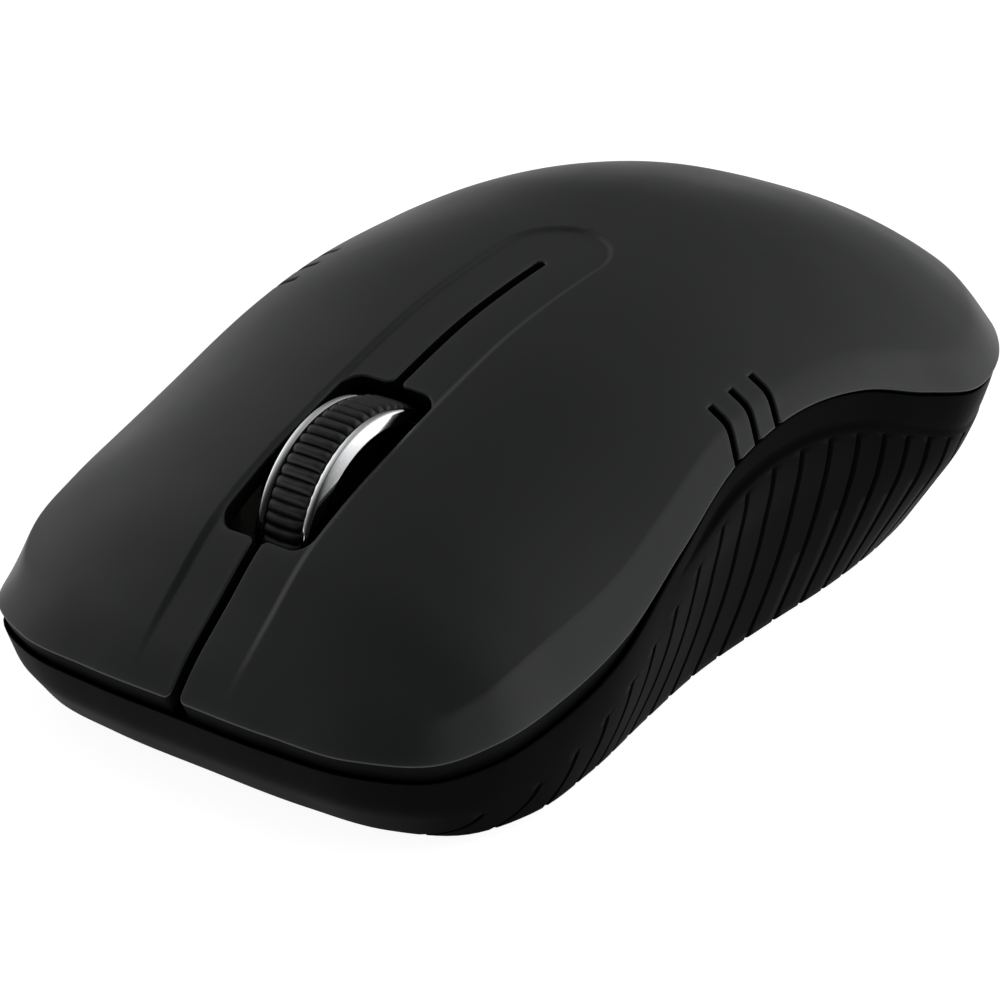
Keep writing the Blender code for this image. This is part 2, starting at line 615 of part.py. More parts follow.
def build():
    clear_scene()
    palm_cover()
    for side_name, side in SIDES:
        button(side_name, side)
        key_switch(side_name, side)
    grip_skirt()
    base_plate()
    battery_door()
    glide_feet()
    scroll_wheel()
    wheel_carrier()
    coil_spring("wheel_spring", (-7.6, WHEEL[1], 0), 1.2, 0.22, BOARD_TOP + 0.25, 13.45, 4, STEEL)
    scroll_encoder()
    circuit_board()
    wheel_switch()
    sensor_and_chips()
    power_switch()
    screws()
    battery_bay()
    battery_cells()
    receiver()


build()
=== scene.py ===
"""The finished look of the cordless notebook mouse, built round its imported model.

Lengths here are millimetres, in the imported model's frame: the nose points to -Y, the user's left
hand side is +X, and the table is at z = 0.  MM turns them into metres when a mesh is made.
"""
import json
import math

import bmesh
import bpy
import numpy as np
from mathutils import Matrix, Vector
from mathutils.geometry import delaunay_2d_cdt


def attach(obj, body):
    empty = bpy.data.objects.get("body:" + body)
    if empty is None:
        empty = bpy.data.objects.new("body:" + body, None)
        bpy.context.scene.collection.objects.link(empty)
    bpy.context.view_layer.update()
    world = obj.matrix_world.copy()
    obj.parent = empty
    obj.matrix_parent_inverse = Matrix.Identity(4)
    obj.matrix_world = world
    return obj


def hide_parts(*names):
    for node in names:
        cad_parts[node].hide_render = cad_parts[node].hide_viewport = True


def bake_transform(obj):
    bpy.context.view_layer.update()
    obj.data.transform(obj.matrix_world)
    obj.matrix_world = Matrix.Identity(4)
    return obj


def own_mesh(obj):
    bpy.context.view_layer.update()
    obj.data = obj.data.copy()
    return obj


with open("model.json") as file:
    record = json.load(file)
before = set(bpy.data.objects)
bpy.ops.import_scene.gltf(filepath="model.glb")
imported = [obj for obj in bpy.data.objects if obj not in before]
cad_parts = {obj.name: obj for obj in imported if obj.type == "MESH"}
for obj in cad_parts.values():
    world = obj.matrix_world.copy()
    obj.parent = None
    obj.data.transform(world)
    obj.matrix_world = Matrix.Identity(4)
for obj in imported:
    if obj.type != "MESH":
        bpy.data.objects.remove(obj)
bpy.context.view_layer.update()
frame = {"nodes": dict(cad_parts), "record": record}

MM = 0.001

# ---- outer form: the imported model's, with the cover's front corners drawn in a little ----
COVER_EDGE = (
    (0.0, -50.0, 9.9), (10.0, -49.9, 9.9), (19.0, -48.8, 9.9), (24.95, -45.4, 9.8),
    (27.55, -40.2, 10.0), (28.8, -32.0, 11.0), (29.3, -24.0, 13.4), (28.8, -15.0, 18.0),
    (28.0, -5.0, 22.7), (28.2, 4.0, 24.1), (29.3, 13.0, 22.9), (31.2, 20.5, 20.1),
    (32.4, 27.0, 18.3), (30.7, 33.5, 18.0), (26.6, 39.6, 18.0), (19.5, 44.9, 17.7),
    (10.5, 48.7, 17.2), (0.0, 50.0, 17.0),
)
BASE_EDGE = (
    (0.0, -45.8), (11.0, -45.6), (18.9, -44.5), (24.7, -41.3), (27.3, -35.0), (27.2, -27.0),
    (25.8, -17.0), (24.6, -7.0), (24.6, 4.0), (24.9, 14.0), (24.2, 24.0), (22.6, 31.8),
    (19.0, 39.0), (11.5, 44.6), (0.0, 46.5),
)
SPINE = (
    (-50.0, 10.5), (-47.4, 12.9), (-43.0, 16.7), (-38.3, 20.5), (-33.0, 23.2), (-26.0, 25.8),
    (-18.0, 28.3), (-9.0, 30.6), (0.0, 31.8), (12.0, 32.3), (22.0, 32.0), (31.0, 30.2),
    (38.0, 27.7), (44.0, 24.2), (50.0, 17.4),
)
SIDE_FALL = ((-50.0, 4.3), (-38.0, 8.0), (-25.0, 9.9), (0.0, 8.4), (20.0, 9.2), (35.0, 9.9),
             (50.0, 11.5))
SIDE_REACH = 30.0
SIDE_POWER = 2.4
FACET_SIDE = 1.9
FACET_NOSE = 2.6
WALL = 1.5
SPLIT_Y = 4.0

# ---- details of the cover ----
RIM = 0.2                    # radius of every rolled edge of the cover
WEAR_AND_HIGHLIGHT_REACH = 0.25            # how fast the rims' wear and painted highlight fade
UNMARKED = 9.0
SLOT_HALF = 0.52
SLOT_END = 3.3
OPENING_HALF = 5.0
OPENING_Y = (-37.8, -18.7)
OPENING_CORNER = 1.8
SLOT_CORNER = 0.45
CHANNEL_HALF = 5.3           # the shallow channel that the slot and the wheel lie in
CHANNEL_END = 4.7
CHANNEL_STEP = 0.42
CHANNEL_DEPTH = 0.34
NOTCH_Y = (-5.2, -2.1, 1.0)
NOTCH_LINE = ((23.8, 1.2), (26.0, 0.9), (28.4, -0.7), (32.0, -1.7))
NOTCH_HALF = 0.36
NOTCH_CORNER = 0.2
NOSE_BLEND = (-8.0, -28.0)    # where the sides give way to the nose
BAND_IN = (1.35, 1.05)       # how far the wall under the cover's edge draws in: sides, then nose
BAND_DROP = (0.7, 2.0)

# Where the cover's mesh has rows: off its crease, off its channel's side, in from its edge.
CREASE_ROWS = (-1.2, -0.8, -0.5, -0.3, -0.15, 0.0, 0.15, 0.3, 0.5, 0.8, 1.2, 1.8)
CHANNEL_ROWS = (-0.8, -0.5, -0.32, -0.16, 0.0, 0.16, 0.32, 0.5, 0.8)
SEAM_ROWS = (0.25, 0.55, 0.85, 1.15, 1.4, 1.55, 1.7, 1.85, 2.0, 2.2, 2.6, 3.2)

# ---- skirt ----
SKIRT_INSET = 0.45
SKIRT_WALL = 1.5
SKIRT_BOTTOM = 1.0
SKIRT_ROUND = 0.15
LIP_SLOPE = 2.3
LIP_INNER = (0.82, 0.45)     # the lip's thickness half way down its inner slope: sides, then nose
SEAM_GAP = 0.42              # under the palm cover; more under the keys, and most at the nose
KEY_GAP = 0.18
NOSE_GAP = 1.3
DRAW_POWER = 1.4             # how the skirt draws in from its lip to its foot
KNEE = ((-50.0, 4.3), (-44.0, 4.3), (-38.0, 4.8), (-20.0, 9.0), (0.0, 15.8), (8.5, 14.6),
        (16.0, 12.8), (24.0, 10.5), (36.0, 9.0), (50.0, 8.5))
KNEE_STRENGTH = ((-50.0, 0.9), (-45.0, 0.9), (-38.0, 0.35), (-20.0, 0.2), (0.0, 0.35),
                 (12.0, 0.6), (26.0, 0.6), (38.0, 0.3), (50.0, 0.2))
KNEE_DRAW = 0.85
KNEE_SOFT = 0.05
FOLD_DROP = ((-50.0, 3.2), (-28.0, 3.0), (-14.0, 2.7), (-8.0, 2.9), (-1.0, 3.2), (4.0, 3.4),
             (12.0, 3.5), (19.0, 3.65), (24.7, 4.1), (30.0, 4.6), (50.0, 5.0))
SHOULDER = 0.42
VALLEY = 0.12
# Slanted grooves: the place of each along the half outline, then heights of their tops there.
GROOVE_PLACES = ((0, 30.2), (1, 36.7), (2, 41.8), (4, 50.1), (6, 58.0), (9, 69.6), (11, 77.8),
                 (13, 85.8), (15, 92.8), (17, 99.2), (19, 105.5))
GROOVE_TOPS = ((0.0, 2.6), (20.0, 2.6), (30.2, 3.2), (41.8, 5.0), (50.1, 8.3), (58.0, 12.3),
               (65.7, 17.3), (69.6, 19.0), (77.8, 20.0), (85.8, 18.7), (92.8, 16.2),
               (99.2, 14.0), (106.0, 13.0), (125.0, 12.0), (150.0, 12.0))
GROOVE_SHAPE = ((-0.38, 0.0), (-0.27, 0.3), (-0.17, 0.9), (0.0, 1.0), (0.17, 0.9),
                (0.27, 0.3), (0.38, 0.0))
GROOVE_DEPTH = 0.5
GROOVE_START = 0.4
# A groove first bows towards the tail and then sweeps towards the nose on its way down.
GROOVE_BOW = ((0.0, 0.0), (12.0, -0.6), (30.0, -2.0), (36.7, -1.9), (46.0, -0.2), (58.0, 0.24),
              (65.7, 1.7), (73.6, 2.4), (85.8, 2.85), (96.0, 2.6), (115.0, 0.0), (150.0, 0.0))
GROOVE_SWEEP = ((0.0, 0.0), (12.0, 1.2), (30.0, 3.6), (36.7, 3.3), (46.0, 3.1), (58.0, 5.2),
                (65.7, 5.6), (73.6, 4.9), (85.8, 3.4), (93.0, 2.6), (115.0, 0.0), (150.0, 0.0))
SWEEP_POWER = 2.5

# ---- wheel and underside ----
WHEEL = (0.0, -24.6, 16.9)
TREAD_R = 11.0
RIBS = 60
RIB_DEPTH = 0.5
RIB_ROUND = 0.6
SPRING_PLACE = (-7.6, -24.6)
SPRING_R = 1.2
SPRING_WIRE = 0.22
SPRING_LOW = 8.35
SPRING_HIGH = 13.45
SPRING_TURNS = 6
SPRING_RISE = ((0.0, 0.0), (0.16, 0.09), (0.84, 0.91), (1.0, 1.0))
PLATE_BOTTOM = 0.9
PLATE_TOP = 2.5
RIM_TOP = 8.2
DOOR_HALF = 18.0
DOOR_FRONT = -4.0
DOOR_TOP = 2.2
DOOR_REACH = 18.3            # the skirt stops above the door this far from the middle
DOOR_SILL = 2.6
DOOR_STEP = 0.01
FOOT_TOP = 0.6
SENSOR_Y = -10.4
POWER_PLACE = (13.0, -21.0)
BOARD_BOTTOM = 6.6
SCREW_BOARD = (17.0, -11.5)
SCREW_CASE = (20.4, 12.0)
LABEL_PLACE = (-4.5, -25.0)
LABEL_SIZE = (22.0, 13.0)

FLOOR_PAPER = (0.35, 0.35, 0.35)
FLOOR_GLOW = 0.94
FLOOR_HALF = 9.0             # metres

# The studio's soft lights: azimuth from the nose and elevation in degrees, and strength.
SKY_LOBES = ((135.0, 18.0, 1.6), (180.0, 18.0, 0.32), (270.0, 18.0, 1.26), (110.0, 55.0, 0.82),
             (200.0, 55.0, 0.29), (290.0, 55.0, 0.3))
SKY_SPREAD = 8.0
SKY_FILL = 0.01

CAMERA_AIM = (37.88, 26.60, -1.08)    # azimuth from the nose, elevation and roll, degrees
CAMERA_TARGET = (0.0, -0.91, 13.32)
CAMERA_DISTANCE = 409.01
CAMERA_LENS = 158.23
CAMERA_SHIFT = (-0.0197, -0.0436)


# ---- curves ----
def smooth(knots, values, at):
    """The smooth curve through values at knots, with slopes taken from the neighbours."""
    knots = np.asarray(knots, float)
    values = np.asarray(values, float)
    columns = values.reshape(len(knots), -1)
    at = np.asarray(at, float)
    span = np.diff(knots)[:, None]
    rise = np.diff(columns, axis=0) / span
    inner = (rise[:-1] * span[1:] + rise[1:] * span[:-1]) / (span[1:] + span[:-1])
    slope = np.vstack((rise[:1], inner, rise[-1:]))
    i = np.clip(np.searchsorted(knots, at, side="right") - 1, 0, len(knots) - 2)
    t = ((at - knots[i]) / span[i, 0])[:, None]
    curve = (columns[i] * (1 + 2 * t) * (1 - t) ** 2 + slope[i] * span[i] * t * (1 - t) ** 2
             + columns[i + 1] * t ** 2 * (3 - 2 * t) + slope[i + 1] * span[i] * t ** 2 * (t - 1))
    return curve[:, 0] if values.ndim == 1 else curve


def half_outline(points, count):
    """count + 1 evenly spaced points from nose to tail along the smooth half outline."""
    points = np.asarray(points, float)
    mirror = np.ones(points.shape[1])
    mirror[0] = -1.0
    chain = np.vstack((points[1] * mirror, points, points[-2] * mirror))
    knots = np.append(0.0, np.cumsum(np.linalg.norm(np.diff(chain, axis=0), axis=1)))
    dense = smooth(knots, chain, np.linspace(knots[1], knots[-2], 6000))
    run = np.append(0.0, np.cumsum(np.linalg.norm(np.diff(dense, axis=0), axis=1)))
    even = np.linspace(0.0, run[-1], count + 1)
    return np.stack([np.interp(even, run, column) for column in dense.T], axis=1)


def ramp(value, start, end):
    """0 at start and 1 at end, with a smooth rise between."""
    t = np.clip((value - start) / (end - start), 0.0, 1.0)
    return t * t * (3 - 2 * t)


def unit(vectors):
    return vectors / np.maximum(np.linalg.norm(vectors, axis=-1, keepdims=True), 1e-12)


def arc(centre, radius, start, end, steps):
    """Points along an arc, with angles in degrees."""
    angles = np.radians(np.linspace(start, end, steps + 1))
    return np.stack((centre[0] + radius * np.cos(angles), centre[1] + radius * np.sin(angles)), 1)


def between(start, end, spacing):
    """Evenly spaced points from start up to, but not including, end."""
    start, end = np.asarray(start, float), np.asarray(end, float)
    count = max(1, round(float(np.linalg.norm(end - start)) / spacing))
    return start + (end - start) * (np.arange(count) / count)[:, None]


# ---- making meshes ----
def new_piece(name, verts, faces, looks, face_looks=None, normals=None, wear_and_painted_highlight=None):
    """A mesh object from millimetre points; normals, if given, are one for each face corner."""
    mesh = bpy.data.meshes.new(name)
    mesh.from_pydata((np.asarray(verts, float) * MM).tolist(), [], [list(face) for face in faces])
    for look in looks:
        mesh.materials.append(look)
    if face_looks is not None:
        mesh.polygons.foreach_set("material_index", face_looks)
    mesh.shade_smooth()
    # a per-point mark for rims made lighter, part wear and part painted highlight
    if wear_and_painted_highlight is not None:
        mesh.attributes.new("wear_and_painted_highlight", "FLOAT", "POINT").data.foreach_set("value", wear_and_painted_highlight)
    mesh.update()
    if normals is not None:
        mesh.normals_split_custom_set(normals)
    made = bpy.data.objects.new(name, mesh)
    bpy.context.collection.objects.link(made)
    return made


def face_out(made, sharp=None):
    """Turns every face outwards, and marks edges sharper than an angle in degrees."""
    data = bmesh.new()
    data.from_mesh(made.data)
    bmesh.ops.recalc_face_normals(data, faces=data.faces)
    data.to_mesh(made.data)
    data.free()
    if sharp:
        made.data.shade_smooth()
        made.data.set_sharp_from_angle(angle=math.radians(sharp))


# ---- materials ----
CLOUD_SCALE = 90.0           # cells per metre of the broad unevenness in every material


def moulded(name, colour, roughness, metallic=0.0, grain=5000.0, grain_depth=0.004,
            mottle=0.08, worn_and_highlit=None, **sockets):
    """A Principled material with fine moulded grain, uneven roughness and lighter rims, part wear and
    part painted highlight.

    grain is in cells per metre and grain_depth in millimetres; the rim colour argument is for the rims
    marked by the mesh's point attribute, lighter partly from wear and partly as a painted highlight;
    sockets are set on the shader itself.
    """
    made = bpy.data.materials.new(name)
    made.use_nodes = True
    nodes, links = made.node_tree.nodes, made.node_tree.links
    shader = nodes["Principled BSDF"]
    shader.inputs["Metallic"].default_value = metallic
    for socket, value in sockets.items():
        shader.inputs[socket.replace("_", " ")].default_value = value
    place = nodes.new("ShaderNodeTexCoord")

    def noise(scale, detail):
        pattern = nodes.new("ShaderNodeTexNoise")
        pattern.inputs["Scale"].default_value = scale
        pattern.inputs["Detail"].default_value = detail
        links.new(place.outputs["Object"], pattern.inputs["Vector"])
        return pattern

    clouds, fine = noise(CLOUD_SCALE, 4.0), noise(grain, 3.0)
    rough = nodes.new("ShaderNodeMapRange")
    for end, value in (("From Min", 0.3), ("From Max", 0.7), ("To Min", roughness * (1 - mottle)),
                       ("To Max", roughness * (1 + mottle))):
        rough.inputs[end].default_value = value
    links.new(clouds.outputs["Fac"], rough.inputs["Value"])
    links.new(rough.outputs["Result"], shader.inputs["Roughness"])

    tint = nodes.new("ShaderNodeMix")
    tint.data_type = "RGBA"
    tint.inputs["A"].default_value = (*(c * 0.88 for c in colour), 1.0)
    tint.inputs["B"].default_value = (*(min(1.0, c * 1.12) for c in colour), 1.0)
    links.new(fine.outputs["Fac"], tint.inputs["Factor"])
    shade = tint.outputs["Result"]
    # Rims marked by the mesh's point attribute turn lighter in patches: part wear, part painted
    # highlight.
    if worn_and_highlit is not None:
        mark = nodes.new("ShaderNodeAttribute")
        mark.attribute_name = "wear_and_painted_highlight"
        blend = nodes.new("ShaderNodeMix")
        blend.data_type = "RGBA"
        blend.inputs["B"].default_value = (*worn_and_highlit, 1.0)
        patchy_wear_and_highlight = nodes.new("ShaderNodeMath")
        patchy_wear_and_highlight.operation = "MULTIPLY"
        links.new(mark.outputs["Fac"], patchy_wear_and_highlight.inputs[0])
        links.new(clouds.outputs["Fac"], patchy_wear_and_highlight.inputs[1])
        links.new(patchy_wear_and_highlight.outputs["Value"], blend.inputs["Factor"])
        links.new(shade, blend.inputs["A"])
        shade = blend.outputs["Result"]
    links.new(shade, shader.inputs["Base Color"])

    bump = nodes.new("ShaderNodeBump")
    bump.inputs["Strength"].default_value = 1.0
    bump.inputs["Distance"].default_value = grain_depth * MM
    links.new(fine.outputs["Fac"], bump.inputs["Height"])
    links.new(bump.outputs["Normal"], shader.inputs["Normal"])
    made.diffuse_color = (*colour, 1.0)
    return made


# The rim colours given below are lighter than each base colour: part wear, part painted highlight.
SOFT = moulded("soft_touch", (0.0112, 0.0122, 0.0130), 0.46, grain=7000, grain_depth=0.003,
               worn_and_highlit=(0.03, 0.032, 0.034), Specular_IOR_Level=0.32, Sheen_Weight=0.05,
               Sheen_Roughness=0.45)
SHELL = moulded("shell_plastic", (0.0035, 0.0036, 0.004), 0.34, worn_and_highlit=(0.010, 0.010, 0.011),
                Specular_IOR_Level=0.2)
GRIP = moulded("grip_rubber", (0.0030, 0.0031, 0.0034), 0.46, grain_depth=0.002,
               worn_and_highlit=(0.008, 0.008, 0.009), Specular_IOR_Level=0.008)
GLOSS = moulded("gloss_plastic", (0.004, 0.004, 0.0045), 0.12, grain_depth=0.0005,
                Specular_IOR_Level=0.3)
TREAD = moulded("tread_rubber", (0.010, 0.0104, 0.011), 0.52, grain=4000, grain_depth=0.006,
                worn_and_highlit=(0.018, 0.018, 0.019))
CHROME = moulded("chrome_plate", (0.86, 0.87, 0.88), 0.07, metallic=1.0, grain=2500,
                 grain_depth=0.0003, mottle=0.35)
STEEL = moulded("plated_steel", (0.55, 0.55, 0.57), 0.28, metallic=1.0, grain=3000,
                grain_depth=0.002, mottle=0.3)
GLIDE = moulded("glide_pad", (0.02, 0.02, 0.021), 0.22, grain=1500, grain_depth=0.002)
BOARD = moulded("board_mask", (0.012, 0.07, 0.03), 0.32, grain=900, grain_depth=0.01, mottle=0.2)
CHIP = moulded("moulded_epoxy", (0.018, 0.018, 0.019), 0.5, grain=4000, grain_depth=0.006)
SWITCH = moulded("switch_plastic", (0.30, 0.02, 0.014), 0.38, grain=3000, grain_depth=0.003)
WHITE = moulded("white_plastic", (0.62, 0.61, 0.58), 0.42, grain=3000, grain_depth=0.003)
LABEL = moulded("blank_label", (0.30, 0.30, 0.31), 0.5, grain=6000, grain_depth=0.001)
LENS = moulded("clear_lens", (0.9, 0.92, 0.94), 0.05, grain=600, grain_depth=0.0005,
               Transmission_Weight=1.0, IOR=1.49)
LAMP = moulded("tinted_epoxy", (0.6, 0.03, 0.02), 0.12, grain=600, grain_depth=0.0005,
               Transmission_Weight=0.6)
CELL = moulded("cell_sleeve", (0.03, 0.032, 0.036), 0.25, metallic=0.4, grain=900,
               grain_depth=0.001, mottle=0.3)
LOOKS = {"soft_cover": SOFT, "grip_skirt": GRIP, "shell_black": SHELL, "tread_rubber": TREAD,
         "chrome": CHROME, "steel": STEEL, "glide": GLIDE, "board_green": BOARD,
         "chip_black": CHIP, "switch_red": SWITCH, "white_plastic": WHITE, "clear_lens": LENS,
         "lamp_red": LAMP, "cell_wrap": CELL}


# ---- the cover's surface ----
EDGE = half_outline(COVER_EDGE, 1200)
EDGE_RUN = np.gradient(EDGE, axis=0)
EDGE_RUN /= np.linalg.norm(EDGE_RUN[:, :2], axis=1)[:, None]
EDGE_SPACING = float(np.linalg.norm(np.diff(EDGE[:, :2], axis=0), axis=1).mean())
INWARDS = np.stack((-EDGE_RUN[:, 1], EDGE_RUN[:, 0]), axis=1)
EDGE_BEND = np.einsum("ij,ij->i", np.gradient(EDGE_RUN[:, :2], EDGE_SPACING, axis=0), INWARDS)
FACET = FACET_SIDE + (FACET_NOSE - FACET_SIDE) * ramp(EDGE[:, 1], -40.0, -47.0)


def cover_height(x, y):
    """Height of the cover's top surface inside the facet."""
    spine = smooth(*zip(*SPINE), y)
    fall = smooth(*zip(*SIDE_FALL), y)
    return spine - fall * (np.abs(x) / SIDE_REACH) ** SIDE_POWER


CREASE = EDGE[:, :2] + INWARDS * FACET[:, None]
CLIMB = (cover_height(CREASE[:, 0], CREASE[:, 1]) - EDGE[:, 2]) / FACET


def channel_depth(x, y):
    """How far the channel round the slot and the wheel sinks into the cover."""
    reach = np.hypot(x, np.maximum(y - CHANNEL_END, 0.0))
    depth = CHANNEL_DEPTH * (0.35 + 0.65 * ramp(y, -47.5, -42.0))
    return depth * (1 - ramp(reach, CHANNEL_HALF - CHANNEL_STEP, CHANNEL_HALF + CHANNEL_STEP))


def facet_height(x, y):
    """Height of the facet that climbs inwards from the cover's edge, carried on without end."""
    result = np.empty(len(x))
    for start in range(0, len(x), 4000):
        part = np.stack((np.abs(x[start:start + 4000]), y[start:start + 4000]), axis=1)
        i = ((part[:, None] - EDGE[None, :, :2]) ** 2).sum(axis=2).argmin(axis=1)
        offset = part - EDGE[i, :2]
        along = np.einsum("ij,ij->i", offset, EDGE_RUN[i, :2])
        inward = np.einsum("ij,ij->i", offset, INWARDS[i])
        spread = np.maximum(1 - EDGE_BEND[i] * inward, 0.2)
        inward = inward - EDGE_BEND[i] * along ** 2 / (2 * spread)
        result[start:start + 4000] = EDGE[i, 2] + EDGE_RUN[i, 2] * along / spread + CLIMB[i] * inward
    return result


def cover_surface(x, y, soft=None):
    """Height of the finished cover at plan points; soft, if given, rounds the crease instead."""
    top = cover_height(x, y)
    if soft is None:
        top = top - channel_depth(x, y)
        soft = 0.28 + 0.6 * ramp(y, 2.0, 18.0)
    facet = facet_height(x, y)
    mix = np.clip(0.5 + 0.5 * (facet - top) / soft, 0.0, 1.0)
    return facet * (1 - mix) + top * mix - soft * mix * (1 - mix)


def surface_normal(x, y, soft=None):
    step = 0.02
    right, left = (cover_surface(x + side * step, y, soft) for side in (1, -1))
    back, front = (cover_surface(x, y + side * step, soft) for side in (1, -1))
    slope = np.stack((left - right, front - back, np.full(len(x), 2 * step)), axis=1)
    return unit(slope)


# ---- the cover's outline in plan ----
def notch_loop(y, edge):
    """One notch's boundary, from the cover's edge in to its tip and out again."""
    half = NOTCH_HALF + RIM
    knots, offsets = zip(*NOTCH_LINE)
    tip = NOTCH_LINE[0][0] - RIM
    sides = []
    for side in (-1, 1):
        mouth = 28.0
        for _ in range(8):
            height = float(smooth(knots, offsets, [mouth])[0]) + y + side * half
            mouth = float(np.interp(height, edge[:, 1], edge[:, 0]))
        run = np.linspace(mouth, tip + NOTCH_CORNER, 12)
        sides.append(np.stack((run, smooth(knots, offsets, run) + y + side * half), axis=1))
    near, far = sides[0][-1], sides[1][-1]
    corner = NOTCH_CORNER * (1 - math.sqrt(0.5))
    tip_points = np.array(((tip + corner, near[1] + corner), (tip, near[1] + NOTCH_CORNER),
                           (tip, (near[1] + far[1]) / 2), (tip, far[1] - NOTCH_CORNER),
                           (tip + corner, far[1] - corner)))
    return np.vstack((sides[0], tip_points, sides[1][::-1]))


def cover_outline():
    """The left half of the cover's sheet in plan, counter-clockwise from the slot at the nose."""
    edge = EDGE[:, :2] + INWARDS * RIM
    lane = SLOT_HALF + RIM
    turn = lane + SLOT_CORNER
    nose = float(np.interp(turn, edge[:300, 0], edge[:300, 1]))
    path = [arc((turn, nose + SLOT_CORNER), SLOT_CORNER, 180, 270, 4)]
    side = edge[(edge[:, 1] > -20) & (edge[:, 1] < 20)]
    start = turn + 0.3
    floor = -60.0
    for y in NOTCH_Y:
        loop = notch_loop(y, side)
        keep = (edge[:, 0] > start) & (edge[:, 1] > floor + 0.2) & (edge[:, 1] < loop[0, 1] - 0.2)
        stretch = edge[keep]
        path.append(stretch[::5] if len(stretch) > 12 else stretch[2:-2:4])
        path.append(loop)
        start, floor = 5.0, loop[-1, 1]
    split = np.array(((np.interp(SPLIT_Y, side[:, 1], side[:, 0]), SPLIT_Y),))
    stretch = edge[(edge[:, 0] > 5) & (edge[:, 1] > floor + 0.2) & (edge[:, 1] < SPLIT_Y - 0.2)]
    path += [stretch[::4], split]
    stretch = edge[(edge[:, 1] > SPLIT_Y + 0.2) & (edge[:, 0] > 0.3)]
    path.append(stretch[::5])
    tail = edge[-1, 1]
    end = SLOT_END - lane
    path += [between((0.0, tail), (0.0, SPLIT_Y), 0.9), between((0.0, SPLIT_Y), (0.0, SLOT_END), 0.3)]
    path.append(arc((0.0, end), lane, 90, 0, 6))
    front, back = OPENING_Y[0] - RIM, OPENING_Y[1] + RIM
    half = OPENING_HALF + RIM
    corner = OPENING_CORNER + RIM
    path.append(between((lane, end), (lane, back + SLOT_CORNER), 0.6)[1:])
    path.append(arc((turn, back + SLOT_CORNER), SLOT_CORNER, 180, 270, 4))
    path.append(between((turn, back), (half - corner, back), 0.4)[1:])
    path.append(arc((half - corner, back - corner), corner, 90, 0, 8))
    path.append(between((half, back - corner), (half, front + corner), 0.5)[1:])
    path.append(arc((half - corner, front + corner), corner, 0, -90, 8))
    path.append(between((half - corner, front), (turn, front), 0.4)[1:])
    path.append(arc((turn, front - SLOT_CORNER), SLOT_CORNER, 90, 180, 4))
    path.append(between((lane, front - SLOT_CORNER), (lane, nose + SLOT_CORNER), 0.6)[1:])
    return np.vstack(path)


def inside(points, loop):
    """Which points lie inside the closed plan loop."""
    x, y = points[:, 0][:, None], points[:, 1][:, None]
    x0, y0 = loop.T
    x1, y1 = np.roll(loop, -1, axis=0).T
    crosses = ((y0 > y) != (y1 > y)) & (x < (x1 - x0) * (y - y0) / (y1 - y0 + 1e-12) + x0)
    return crosses.sum(axis=1) % 2 == 1


def thin_out(points, spacing, taken, cell=1.0):
    """The points that keep their spacing from those taken before them."""
    kept = []
    for point, gap in zip(points, spacing):
        column, row = int(point[0] // cell), int(point[1] // cell)
        near = (other for i in (-1, 0, 1) for j in (-1, 0, 1)
                for other in taken.get((column + i, row + j), ()))
        if all((other[0] - point[0]) ** 2 + (other[1] - point[1]) ** 2 > gap * gap for other in near):
            taken.setdefault((column, row), []).append(point)
            kept.append(point)
    return kept


def inner_points(outline):
    """Mesh points inside the outline: rows along each feature, and an even grid between them."""
    rows = []
    stations = slice(2, None, 5)
    for offset in (0.4, 0.7):
        rows.append(EDGE[stations, :2] + INWARDS[stations] * offset)
    for offset in CREASE_ROWS:
        rows.append(EDGE[stations, :2] + INWARDS[stations] * (FACET[stations] + offset)[:, None])
    for offset in CHANNEL_ROWS:
        reach = CHANNEL_HALF + offset
        rows.append(between((reach, -48.0), (reach, CHANNEL_END), 0.55))
        rows.append(arc((0.0, CHANNEL_END), reach, 0, 86, round(reach * 2.8)))
    fine = np.vstack(rows)
    run = unit(np.roll(outline, -1, axis=0) - np.roll(outline, 1, axis=0))
    inwards = np.stack((-run[:, 1], run[:, 0]), axis=1)
    near = np.vstack([outline + inwards * offset for offset in (0.3, 0.75)])
    pitch = 0.95
    x, y = np.meshgrid(np.arange(0.0, 33.0, pitch * math.sqrt(0.75)), np.arange(-50.0, 50.0, pitch))
    y[:, 1::2] += pitch / 2
    grid = np.stack((x.ravel() + 0.4, y.ravel()), axis=1)
    points = np.vstack((fine, near, grid))
    spacing = np.repeat((0.13, 0.26, 0.6), (len(fine), len(near), len(grid)))
    keep = inside(points, outline) & (points[:, 0] > 0.25) & (np.abs(points[:, 1] - SPLIT_Y) > 0.12)
    points, spacing = points[keep], spacing[keep]
    taken = {}
    thin_out(outline.tolist(), [0.0] * len(outline), taken)
    return thin_out(points.tolist(), np.maximum(spacing, 0.13), taken)


